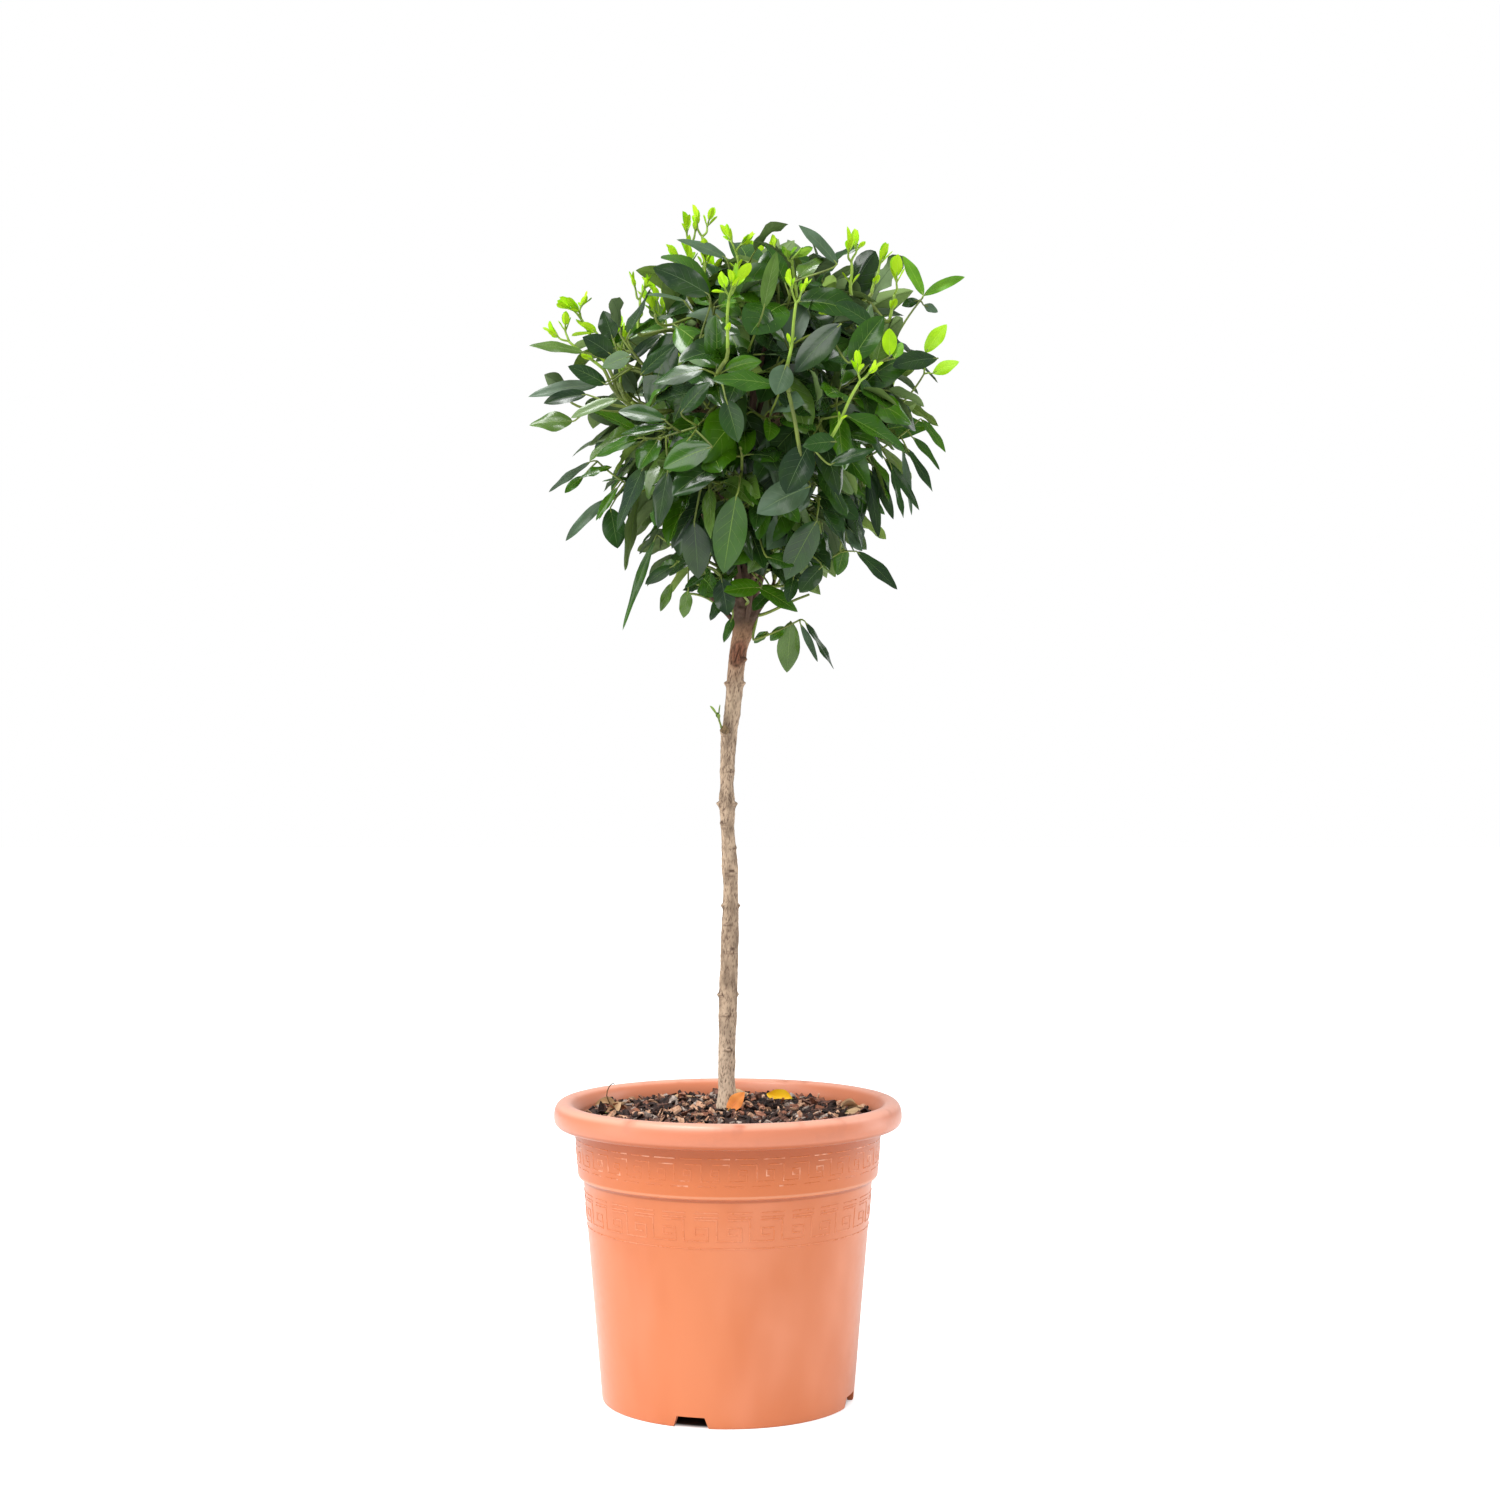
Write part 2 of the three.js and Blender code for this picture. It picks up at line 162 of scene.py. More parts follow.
# %% Pour arrays into a piece
def pour_mesh(name, points, face_sets, kinds=None):
    """A mesh from (n, 3) points and arrays of triangles or quads. kinds gives each face's material."""
    mesh = bpy.data.meshes.new(name)
    face_sets = [np.asarray(f) for f in face_sets if len(f)]
    sides = np.concatenate([np.full(len(f), f.shape[1]) for f in face_sets])
    corners = np.concatenate([f.reshape(-1) for f in face_sets]).astype(np.int32)
    starts = np.concatenate([[0], np.cumsum(sides)[:-1]]).astype(np.int32)
    mesh.vertices.add(len(points))
    mesh.vertices.foreach_set("co", np.asarray(points, np.float32).ravel())
    mesh.loops.add(len(corners))
    mesh.loops.foreach_set("vertex_index", corners)
    mesh.polygons.add(len(sides))
    mesh.polygons.foreach_set("loop_start", starts)
    if kinds is not None:
        mesh.polygons.foreach_set("material_index", np.asarray(kinds, np.int32))
    mesh.update(calc_edges=True)
    mesh.validate()
    mesh.polygons.foreach_set("use_smooth", np.ones(len(mesh.polygons), bool))
    return mesh


def ring_faces(around, along):
    """Fans and quads of a closed tube of rings, whose two middle points come last."""
    a = np.arange(around)
    b = (a + 1) % around
    rows = np.arange(along - 1)[:, None] * around
    quads = np.stack([rows + a, rows + b, rows + around + b, rows + around + a], -1).reshape(-1, 4)
    first, last, end = around * along, around * along + 1, (along - 1) * around
    low_fan = np.stack([np.full(around, first), b, a], 1)
    high_fan = np.stack([np.full(around, last), end + a, end + b], 1)
    return np.vstack([low_fan, high_fan]), quads


def triangle_count(mesh):
    sides = np.empty(len(mesh.polygons), np.int32)
    mesh.polygons.foreach_get("loop_total", sides)
    return int((sides - 2).sum())


def settle(mesh, materials, stands_for=()):
    """Makes the piece, gives it its finishes, and fixes it to the frame."""
    piece = bpy.data.objects.new(mesh.name, mesh)
    for material in materials:
        mesh.materials.append(material)
    bpy.context.scene.collection.objects.link(piece)
    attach(piece, "root")
    if stands_for:
        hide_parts(*stands_for)
    print("%-22s %7d triangles" % (mesh.name, triangle_count(mesh)))
    return piece


# %% [markdown]
# ## Shared effects
# Bark, plastic and leaf all need two things: a tone that drifts in soft patches, and a fine relief that
# breaks up the shine. Both are built once as shader node groups, and each material sets its own values.
# They read the object's own coordinates, in metres, because every piece sits at the frame's origin.

# %% Node helpers
def new_group(name, inputs, outputs):
    group = bpy.data.node_groups.new(name, "ShaderNodeTree")
    for kind, label, value in inputs:
        socket = group.interface.new_socket(label, in_out="INPUT", socket_type=kind)
        socket.default_value = value
    for kind, label in outputs:
        group.interface.new_socket(label, in_out="OUTPUT", socket_type=kind)
    return group, group.nodes.new("NodeGroupInput"), group.nodes.new("NodeGroupOutput")


def feed(tree, socket, value):
    """Links a socket to another one, or sets its own number or colour."""
    if isinstance(value, bpy.types.NodeSocket):
        tree.links.new(value, socket)
    else:
        socket.default_value = value


def math_node(tree, operation, *values):
    node = tree.nodes.new("ShaderNodeMath")
    node.operation = operation
    for socket, value in zip(node.inputs, values):
        feed(tree, socket, value)
    return node.outputs[0]


def object_coordinates(tree, stretch):
    """The surface's own coordinates, multiplied by a vector socket."""
    place = tree.nodes.new("ShaderNodeTexCoord").outputs["Object"]
    scaled = tree.nodes.new("ShaderNodeVectorMath")
    scaled.operation = "MULTIPLY"
    tree.links.new(place, scaled.inputs[0])
    tree.links.new(stretch, scaled.inputs[1])
    return scaled.outputs["Vector"]


def noise_node(tree, coordinates, scale, detail):
    noise = tree.nodes.new("ShaderNodeTexNoise")
    for label, value in (("Vector", coordinates), ("Scale", scale), ("Detail", detail)):
        feed(tree, noise.inputs[label], value)
    return noise.outputs["Fac"]


def ramp_node(tree, value, low, high):
    """0 where a value is at low and 1 where it is at high, with a soft run between them."""
    ramp = tree.nodes.new("ShaderNodeMapRange")
    ramp.interpolation_type = "SMOOTHSTEP"
    for label, given in (("Value", value), ("From Min", low), ("From Max", high)):
        feed(tree, ramp.inputs[label], given)
    return ramp.outputs["Result"]


def mix_colour(tree, factor, first, second):
    mix = tree.nodes.new("ShaderNodeMix")
    mix.data_type = "RGBA"
    for label, value in (("Factor", factor), ("A", first), ("B", second)):
        feed(tree, mix.inputs[label], value)
    return mix.outputs["Result"]


# %% Group: patches of tone
def patches_group():
    group, given, result = new_group(
        "Patches",
        [
            ("NodeSocketColor", "Main", (0.5, 0.5, 0.5, 1)),
            ("NodeSocketColor", "Second", (0.3, 0.3, 0.3, 1)),
            ("NodeSocketFloat", "Scale", 30.0),
            ("NodeSocketVector", "Stretch", (1.0, 1.0, 1.0)),
            ("NodeSocketFloat", "From", 0.4),
            ("NodeSocketFloat", "To", 0.6),
        ],
        [("NodeSocketColor", "Colour"), ("NodeSocketFloat", "Mask")],
    )
    place = object_coordinates(group, given.outputs["Stretch"])
    noise = noise_node(group, place, given.outputs["Scale"], 3.0)
    mask = ramp_node(group, noise, given.outputs["From"], given.outputs["To"])
    colour = mix_colour(group, mask, given.outputs["Main"], given.outputs["Second"])
    group.links.new(colour, result.inputs["Colour"])
    group.links.new(mask, result.inputs["Mask"])
    return group


PATCHES, PATCH_LABELS = patches_group(), ("Scale", "From", "To", "Stretch")


# %% Group: fine relief
def relief_group():
    group, given, result = new_group(
        "Fine relief",
        [
            ("NodeSocketFloat", "Scale", 400.0),
            ("NodeSocketVector", "Stretch", (1.0, 1.0, 1.0)),
            ("NodeSocketFloat", "Coarse share", 0.5),
            ("NodeSocketFloat", "Low", 0.3),
            ("NodeSocketFloat", "High", 0.5),
        ],
        [("NodeSocketFloat", "Height"), ("NodeSocketFloat", "Roughness")],
    )
    place = object_coordinates(group, given.outputs["Stretch"])
    fine = noise_node(group, place, given.outputs["Scale"], 4.0)
    wide = math_node(group, "MULTIPLY", given.outputs["Scale"], 0.16)
    coarse = noise_node(group, place, wide, 2.0)
    part = math_node(group, "MULTIPLY", coarse, given.outputs["Coarse share"])
    height = math_node(group, "ADD", fine, part)
    span = math_node(group, "SUBTRACT", given.outputs["High"], given.outputs["Low"])
    rough = math_node(group, "MULTIPLY_ADD", coarse, span, given.outputs["Low"])
    group.links.new(height, result.inputs["Height"])
    group.links.new(rough, result.inputs["Roughness"])
    return group


RELIEF, RELIEF_LABELS = relief_group(), ("Scale", "Coarse share", "Low", "High", "Stretch")


# %% A material that uses both
def srgb(*steps):
    """A colour as a paint card gives it, 0 to 255, as the linear light that shaders work in."""
    linear = [c / 255 / 12.92 if c <= 10 else ((c / 255 + 0.055) / 1.055) ** 2.4 for c in steps]
    return (*linear, 1)


def place_group(tree, group, labels, values):
    node = tree.nodes.new("ShaderNodeGroup")
    node.node_tree = group
    for label, value in zip(labels, values):
        node.inputs[label].default_value = value
    return node


def finish(name, colour, second=None, patches=(), relief=(), bump=(0.2, 0.3)):
    """A material: a colour, patches of a second one, and a relief that drives bump and roughness.
    Patches and relief are numbers in the order of their labels. Bump is a strength, and a depth in mm."""
    material = bpy.data.materials.new(name)
    material.use_nodes = True
    tree = material.node_tree
    shader = tree.nodes["Principled BSDF"]
    shader.inputs["Base Color"].default_value = colour
    if second:
        drift = place_group(tree, PATCHES, ("Main", "Second", *PATCH_LABELS), (colour, second, *patches))
        tree.links.new(drift.outputs["Colour"], shader.inputs["Base Color"])
    grain = place_group(tree, RELIEF, RELIEF_LABELS, relief)
    tree.links.new(grain.outputs["Roughness"], shader.inputs["Roughness"])
    dent = tree.nodes.new("ShaderNodeBump")
    dent.inputs["Strength"].default_value = bump[0]
    dent.inputs["Distance"].default_value = bump[1] * MM
    tree.links.new(grain.outputs["Height"], dent.inputs["Height"])
    tree.links.new(dent.outputs["Normal"], shader.inputs["Normal"])
    return material


# %% [markdown]
# Some tones change with height, such as the dusty rim, the collar's painted shade or the stem's foot painted
# paler as painted light, and some with the distance from the axis, such as the inside of the wall. A mask for
# each is made from the surface's own coordinates, and any number of tones is then laid over the first.

# %% Tones by place
def place_parts(tree):
    """The surface's own coordinates, one output each."""
    place = tree.nodes.new("ShaderNodeTexCoord")
    split = tree.nodes.new("ShaderNodeSeparateXYZ")
    tree.links.new(place.outputs["Object"], split.inputs[0])
    return split.outputs


def rise_mask(tree, low, high):
    """0 at one height and 1 at another, in metres."""
    return ramp_node(tree, place_parts(tree)["Z"], low, high)


def reach_mask(tree, near, far):
    """0 at one distance from the upright axis and 1 at another, in metres."""
    parts = place_parts(tree)
    square = math_node(tree, "ADD", *(math_node(tree, "POWER", parts[axis], 2.0) for axis in "XY"))
    return ramp_node(tree, math_node(tree, "SQRT", square), near, far)


def patch_mask(tree, *numbers):
    """Soft patches, from 0 to 1."""
    return place_group(tree, PATCHES, PATCH_LABELS, numbers).outputs["Mask"]


def belt_mask(tree, low, high, soft):
    """1 between two heights in metres, fading to 0 outside them."""
    return math_node(
        tree, "MULTIPLY", rise_mask(tree, low - soft, low), rise_mask(tree, high + soft, high))


def above_mask(tree, low, high, mask, *numbers):
    """Another mask, but only above a height."""
    return math_node(tree, "MULTIPLY", mask(tree, *numbers), rise_mask(tree, low, high))


def weak_mask(tree, strength, mask, *numbers):
    return math_node(tree, "MULTIPLY", mask(tree, *numbers), strength)


def recolour(material, *layers):
    """Lays tones over the material's colour. A layer is a tone, the function of its mask, and its numbers."""
    tree = material.node_tree
    socket = tree.nodes["Principled BSDF"].inputs["Base Color"]
    colour = socket.links[0].from_socket
    for tone, mask, *numbers in layers:
        colour = mix_colour(tree, mask(tree, *numbers), colour, tone)
    tree.links.new(colour, socket)


# %% [markdown]
# ## The pot
# It is thin moulded plastic, turned round one axis: a foot ring, a slightly flared wall, a collar
# that steps out, and a rolled rim. Turning a section on a lathe is exactly how its mould was made, so the
# section is written once and spun. The gaps in the foot and the drain holes are cut afterwards.

# %% The pot's section
POT_TURNS = 256
pot_low, pot_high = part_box("pot")
POT = {
    "height": pot_high.z / MM,
    "rim_radius": (pot_high.x - pot_low.x) / 2 / MM,
    "rim_foot": pot_high.z / MM - 22,
    "collar_foot": pot_high.z / MM - 62,
    "collar_top_radius": 132.2,
    "collar_foot_radius": 129.4,
    "body_top_radius": 124.9,
    "body_foot_radius": 108.4,
    "wall": 2.8,
    "floor": 8.0,
}


def body_radius(z):
    """The wall's outer radius below the collar, all in millimetres."""
    share = z / POT["collar_foot"]
    return POT["body_foot_radius"] + share * (POT["body_top_radius"] - POT["body_foot_radius"])


def bend(a, b, c, steps):
    """Points along a curve from a to c that leans towards b, without a itself."""
    t = np.linspace(0, 1, steps + 1)[1:, None]
    a, b, c = (np.array(p, float) for p in (a, b, c))
    return list((1 - t) ** 2 * a + 2 * t * (1 - t) * b + t**2 * c)


def straight(a, b, steps):
    t = np.linspace(0, 1, steps + 1)[1:, None]
    return list(np.array(a, float) * (1 - t) + np.array(b, float) * t)


def pot_section():
    top, rim, foot = POT["height"], POT["rim_foot"], POT["collar_foot"]
    wide = POT["rim_radius"]
    inner = POT["collar_top_radius"] - POT["wall"]
    floor_top = POT["floor"] + POT["wall"]
    runs = [  # one corner for a straight run or two for a bend, and the number of points on it
        ((23.2, 0), 2), ((24, 0), (24.3, 0.9), 3), ((26, 8), 2), ((102.4, 8), 4), ((103.4, 0.4), 2),
        ((103.8, 0), 1), ((106.6, 0), 1), ((108.2, 0), (body_radius(1.8), 1.8), 4),
        ((body_radius(foot - 4.6), foot - 4.6), 30), ((125.0, foot - 3.4), (126.2, foot - 2.9), 3),
        ((129.3, foot - 2.2), (129.4, foot + 0.6), 5), ((132.2, rim - 0.9), 8),
        ((132.3, rim + 0.3), (133.8, rim + 0.4), 3), ((wide - 6.2, rim + 0.8), 3),
        ((wide - 0.6, rim + 1.4), (wide, rim + 8), 8), ((wide, rim + 10), 1),
        ((wide - 0.2, top), (wide - 9.5, top), 10), ((132.4, top - 0.2), (inner + 0.4, top - 12), 9),
        ((inner - 0.3, rim - 4), 2), ((126.6, foot + 2), 3),
        ((126.2, foot - 4), (body_radius(foot) - 2.8, foot - 6), 3),
        ((body_radius(floor_top) - 2.8, floor_top), 4), ((0, floor_top), 2),
    ]
    line = [np.array([0.0, 0.0])]
    for *corners, steps in runs:
        line += (straight if len(corners) == 1 else bend)(line[-1], *corners, steps)
    return np.array(line)


def spin(section, turns):
    """A solid turned from a section that starts and ends on the axis. Points, triangles, quads."""
    angle = np.arange(turns) * 2 * math.pi / turns
    ring = section[1:-1]
    around = np.stack([np.cos(angle), np.sin(angle)], 1)
    points = np.empty((len(ring), turns, 3))
    points[:, :, :2] = ring[:, None, :1] * around[None]
    points[:, :, 2] = ring[:, None, 1]
    points = np.vstack([points.reshape(-1, 3), [0, 0, section[0, 1]], [0, 0, section[-1, 1]]])
    return points, *ring_faces(turns, len(ring))


# %% [markdown]
# Four gaps in the foot ring let water away, and four round holes drain the floor. Drawing them into the
# turned mesh would bend its rows, so a set of cutters is subtracted, and sharp edges are found by angle.

# %% Cut the foot and the floor
NOTCH_TURN, NOTCH_FOOT, NOTCH_TOP, NOTCH_HEIGHT = -106, 32.0, 24.0, 9.5
DRAIN_TURN, DRAIN_RADIUS, DRAIN_REACH, DRAIN_SIDES = -61, 6.0, 66.0, 32


def cutter_mesh():
    points, faces = [], []

    def add_prism(low_ring, high_ring):
        base, count = len(points), len(low_ring)
        points.extend(low_ring + high_ring)
        faces.append([base + i for i in reversed(range(count))])
        faces.append([base + count + i for i in range(count)])
        for i in range(count):
            j = (i + 1) % count
            faces.append([base + i, base + j, base + count + j, base + count + i])

    half_foot, half_top, top = NOTCH_FOOT / 2, NOTCH_TOP / 2, NOTCH_HEIGHT - 0.05
    outline = [(-half_foot, -2), (half_foot, -2), (half_top, top), (-half_top, top)]
    for turn in range(4):
        angle = math.radians(NOTCH_TURN + 90 * turn)
        out = np.array([math.cos(angle), math.sin(angle)])
        side = np.array([-math.sin(angle), math.cos(angle)])
        near, far = ([[*(out * (POT["body_foot_radius"] + past) + side * across), z] for across, z in outline]
                     for past in (-11, 10))
        add_prism(near, far)
    ring = np.arange(DRAIN_SIDES) * 2 * math.pi / DRAIN_SIDES
    for turn in range(4):
        angle = math.radians(DRAIN_TURN + 90 * turn)
        x, y = DRAIN_REACH * math.cos(angle), DRAIN_REACH * math.sin(angle)
        low, high = ([[x + DRAIN_RADIUS * math.cos(a), y + DRAIN_RADIUS * math.sin(a), z] for a in ring]
                     for z in (2, 16))
        add_prism(low, high)
    mesh = bpy.data.meshes.new("pot_cutters")
    mesh.from_pydata((np.array(points) * MM).tolist(), [], faces)
    return mesh


def cut_pot():
    points, fans, quads = spin(pot_section(), POT_TURNS)
    whole = bpy.data.objects.new("pot_whole", pour_mesh("pot_whole", points * MM, [fans, quads]))
    cutters = bpy.data.objects.new("pot_cutters", cutter_mesh())
    for item in (whole, cutters):
        bpy.context.scene.collection.objects.link(item)
    cut = whole.modifiers.new("cut", "BOOLEAN")
    cut.operation = "DIFFERENCE"
    cut.solver = "EXACT"
    cut.object = cutters
    graph = bpy.context.evaluated_depsgraph_get()
    mesh = bpy.data.meshes.new_from_object(whole.evaluated_get(graph))
    mesh.name = "pot_shell"
    bpy.data.objects.remove(whole)
    bpy.data.objects.remove(cutters)
    mesh.polygons.foreach_set("use_smooth", np.ones(len(mesh.polygons), bool))
    mesh.set_sharp_from_angle(angle=math.radians(38))
    mesh.materials.clear()
    return mesh


# %% [markdown]
# The plastic is a warm terracotta with a satin face. Moulding leaves it faintly cloudy, and handling has
# scuffed it, so its tone drifts a little in wide patches and its roughness changes over the surface. A
# glossy coat would be too clean: real pots of this kind only shine at a grazing angle.

# %% Pot plastic
TERRACOTTA = srgb(213, 124, 78)
TERRACOTTA_DEEP = srgb(205, 113, 65)
BODY_BLOOM = srgb(224, 140, 102)  # the paler clouds low on the wall
# painted shade: the collar is darkened where the rim's shadow falls on it
COLLAR_PAINTED_SHADE = srgb(207, 113, 62)
# the second tone is painted light: the rim's upward face is painted paler, as if lit from above
RIM_DUSTY, RIM_TOP_PAINTED_LIGHT = srgb(213, 130, 97), srgb(236, 166, 140)
RIM_SMUDGE = srgb(200, 123, 94)
SHADE_UNDER_RIM = srgb(185, 96, 50)
INSIDE_WARM = srgb(212, 127, 90)
# painted highlight: a paler line along the collar's lower lip
# painted shade: a darker band in the crease below the collar's foot
CREASE_PAINTED_SHADE, LIP_PAINTED_HIGHLIGHT = srgb(182, 97, 58), srgb(217, 138, 98)  # below the collar's foot, and along it
COLLAR_FOOT = POT["collar_foot"] * MM

pot_plastic = finish(
    "terracotta_plastic", TERRACOTTA, TERRACOTTA_DEEP,
    (11.0, 0.38, 0.66, (1.0, 1.0, 0.4)), (900.0, 0.6, 0.24, 0.42), (0.12, 0.15))
recolour(
    pot_plastic,
    (BODY_BLOOM, patch_mask, 9.0, 0.46, 0.80, (1.0, 1.0, 0.6)),
    # painted shade on the collar, below the rim
    (COLLAR_PAINTED_SHADE, rise_mask, 0.186, 0.192),
    # painted shade in the crease below the collar's foot
    (CREASE_PAINTED_SHADE, belt_mask, COLLAR_FOOT - 0.0046, COLLAR_FOOT - 0.0032, 0.0016),
    # painted highlight along the collar's lower lip
    (LIP_PAINTED_HIGHLIGHT, belt_mask, COLLAR_FOOT - 0.0012, COLLAR_FOOT + 0.0002, 0.0008),
    (SHADE_UNDER_RIM, rise_mask, 0.202, 0.232),
    (RIM_DUSTY, rise_mask, 0.2370, 0.2395),
    # painted light: the rim's upward face painted paler
    (RIM_TOP_PAINTED_LIGHT, rise_mask, 0.2500, 0.2545),
    (RIM_SMUDGE, above_mask, 0.2385, 0.2400, patch_mask, 34.0, 0.54, 0.80),
    (INSIDE_WARM, above_mask, 0.2385, 0.2400, reach_mask, 0.1370, 0.1325),
)
shell = pot_plastic.node_tree.nodes["Principled BSDF"]
shell.inputs["Sheen Weight"].default_value = 0.29
shell.inputs["Sheen Roughness"].default_value = 0.35
settle(cut_pot(), [pot_plastic], ["pot"])

# %% [markdown]
# ## The raised key pattern
# Two bands of a traditional key pattern stand a fraction of a millimetre proud, one on the collar and one
# below it. A bump map would vanish at the pot's edge and in other programs, so each line is a real moulded
# ridge: a flat path is drawn in millimetres, given mitred corners, and wrapped round the wall.

# %% Ridges round a wall
RIDGE_WIDTH, RIDGE_TOP = 1.4, 0.6
RIDGE_STEP = 3.0


def ridge(path, radius_of, azimuth, proud):
    """One ridge along a path of (across, height) corners. Points in millimetres, and quads."""
    path = np.array(path, float)
    way = np.diff(path, axis=0)
    way /= np.linalg.norm(way, axis=1)[:, None]
    normal = np.stack([-way[:, 1], way[:, 0]], 1)
    offset = np.vstack([normal[:1], normal[:-1] + normal[1:], normal[-1:]])
    inner = np.einsum("ij,ij->i", offset[1:-1], normal[:-1])
    offset[1:-1] /= inner[:, None]
    ends = np.vstack([-way[:1], np.zeros((len(path) - 2, 2)), way[-1:]]) * RIDGE_WIDTH / 2
    rows, offsets = [], []
    for i in range(len(path) - 1):
        count = max(1, int(np.ceil(np.linalg.norm(path[i + 1] - path[i]) / RIDGE_STEP)))
        for t in np.arange(count) / count:
            rows.append(path[i] * (1 - t) + path[i + 1] * t + (ends[i] if t == 0 else 0))
            offsets.append(offset[i] if t == 0 else normal[i])
    rows.append(path[-1] + ends[-1])
    offsets.append(offset[-1])
    rows, offsets = np.array(rows), np.array(offsets)
    rails = []
    for across, lift in ((-RIDGE_WIDTH, -0.2), (-RIDGE_TOP, proud), (RIDGE_TOP, proud), (RIDGE_WIDTH, -0.2)):
        spot = rows + offsets * across / 2
        radius = radius_of(spot[:, 1]) + lift
        angle = azimuth + spot[:, 0] / radius_of(spot[:, 1])
        rails.append(np.stack([radius * np.cos(angle), radius * np.sin(angle), spot[:, 1]], 1))
    points = np.stack(rails, 1).reshape(-1, 3)
    n = len(rows)
    quads = [[4 * i + k, 4 * i + 4 + k, 4 * i + 4 + (k + 1) % 4, 4 * i + (k + 1) % 4]
             for i in range(n - 1) for k in range(4)]
    quads += [[0, 1, 2, 3], [4 * n - 1, 4 * n - 2, 4 * n - 3, 4 * n - 4]]
    return points, np.array(quads)


# %% [markdown]
# The lower band has 28 keys and the upper one 36, squeezed into less height. Both use one motif: a line
# that runs along, turns down, and coils back into itself, with plain bars above and below.

# %% The two bands
FRONT = -math.pi / 2
LOWER_KEYS = {"count": 28, "turn": math.radians(-3.9), "foot": 150.8, "proud": 0.40}
UPPER_KEYS = {"count": 36, "turn": math.radians(0.9), "foot": 202.9, "proud": 0.24}


LOWER_MOTIF = [  # each line's corners: across and height over the band's foot, in millimetres
    [(-17.6, 23.8), (0, 23.8), (0, 6.3), (20.3, 6.3), (20.3, 17.1), (9.6, 17.1), (9.6, 11.4), (16.3, 11.4)],
    [(-17.6, 26.0), (1, 26.0)], [(-17.6, 29.6), (1, 29.6)], [(-13.6, 0), (13.4, 0)],
]
UPPER_MOTIF = [
    [(-13, 18.1), (0, 18.1), (0, 4.2), (14.5, 4.2), (14.5, 13.5), (8, 13.5), (8, 8.8), (12.4, 8.8)],
    [(-17, 22.8), (0, 22.8)], [(-3, 0), (11, 0)],
]


def collar_radius(z):
    share = (z - POT["collar_foot"]) / (POT["rim_foot"] - POT["collar_foot"])
    return POT["collar_foot_radius"] + share * (POT["collar_top_radius"] - POT["collar_foot_radius"])


def key_mesh():
    points, faces, base = [], [], 0
    bands = (LOWER_KEYS, LOWER_MOTIF, body_radius), (UPPER_KEYS, UPPER_MOTIF, collar_radius)
    for band, motif, wall in bands:
        for i in range(band["count"]):
            azimuth = FRONT + band["turn"] + i * 2 * math.pi / band["count"]
            for line in motif:
                corners = [(x, band["foot"] + height) for x, height in line]
                spots, quads = ridge(corners, wall, azimuth, band["proud"])
                points.append(spots)
                faces.append(quads + base)
                base += len(spots)
    mesh = pour_mesh("pot_key_bands", np.vstack(points) * MM, [np.vstack(faces)])
    mesh.set_sharp_from_angle(angle=math.radians(50))
    return mesh


KEY_PALE_HIGHLIGHT, KEY_GLINT_HIGHLIGHT = srgb(218, 136, 96), srgb(232, 166, 134)  # painted highlights: paler ridges here and there, and whitish glints
# painted highlight: the ridges' second tone, in patches, stands in for light on the ridges
key_plastic = finish(
    "terracotta_key", TERRACOTTA, KEY_PALE_HIGHLIGHT, (20.0, 0.42, 0.66), (900.0, 0.6, 0.20, 0.36), (0.1, 0.12))
recolour(
    key_plastic,
    # painted shade on the collar's key ridges, below the rim
    (COLLAR_PAINTED_SHADE, rise_mask, 0.186, 0.192),
    # painted highlight: whitish glints on the upper band's ridges
    (KEY_GLINT_HIGHLIGHT, above_mask, 0.196, 0.200, patch_mask, 60.0, 0.52, 0.64),
)
settle(key_mesh(), [key_plastic], ["pot"])

# %% [markdown]
# ## Soil and bark chips
# The pot is filled almost to its rim, and the soil is hidden under a mulch of broken bark. The soil is a
# solid that fills the pot, with a lumpy top. The chips could be particles, but an export drops those, so
# each chip is a small irregular slab in one joined mesh for each tone.

# %% Smooth lattice noise for meshes
LATTICE_PRIMES = np.array([374761393, 668265263, 1442695041])


def lattice_noise(points, seed=0):
    """Smooth noise from -1 to 1 at (n, 3) points, one lump per unit."""
    cell = np.floor(points).astype(np.int64)
    part = points - cell
    part = part * part * (3 - 2 * part)

    def corner(steps):
        mixed = (cell + steps) @ LATTICE_PRIMES
        mixed = (mixed + seed * 97531) & 0xFFFFFFFF
        mixed = ((mixed ^ (mixed >> 13)) * 1274126177) & 0xFFFFFFFF
        mixed ^= mixed >> 16
        return (mixed & 0xFFFF) / 32767.5 - 1

    total = np.zeros(len(points))
    for steps in np.ndindex(2, 2, 2):
        near = np.where(steps, part, 1 - part)
        total += near[:, 0] * near[:, 1] * near[:, 2] * corner(steps)
    return total


# %% The soil
soil_low, soil_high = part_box("soil")
SOIL_TURNS = 120
BED_EDGE, BED_FOOT = 128.6, 238  # radius of the bed, and how high its wall side reaches, in millimetres
WALL_GAP = 3.4  # from the pot's outer face to the soil
HEAP = 3.5  # how much the mulch is heaped behind the stem


def soil_height(x, y):
    """The height of the bed at a spot, in millimetres: it rises towards the stem and is lumpy."""
    away = np.hypot(x, y)
    slope = np.interp(away, [16, 128], [soil_high.z / MM - 0.6, soil_high.z / MM - 6.0])
    slope = slope + HEAP * np.exp(-((x + 18) / 60) ** 2 - ((y - 62) / 34) ** 2)
    spots = np.stack([x, y, np.zeros_like(x)], 1)
    lumps = 1.1 * lattice_noise(spots / 14, 3) + 0.7 * lattice_noise(spots / 5, 4)
    return slope + (lumps + 0.4 * lattice_noise(spots / 2.2, 5))


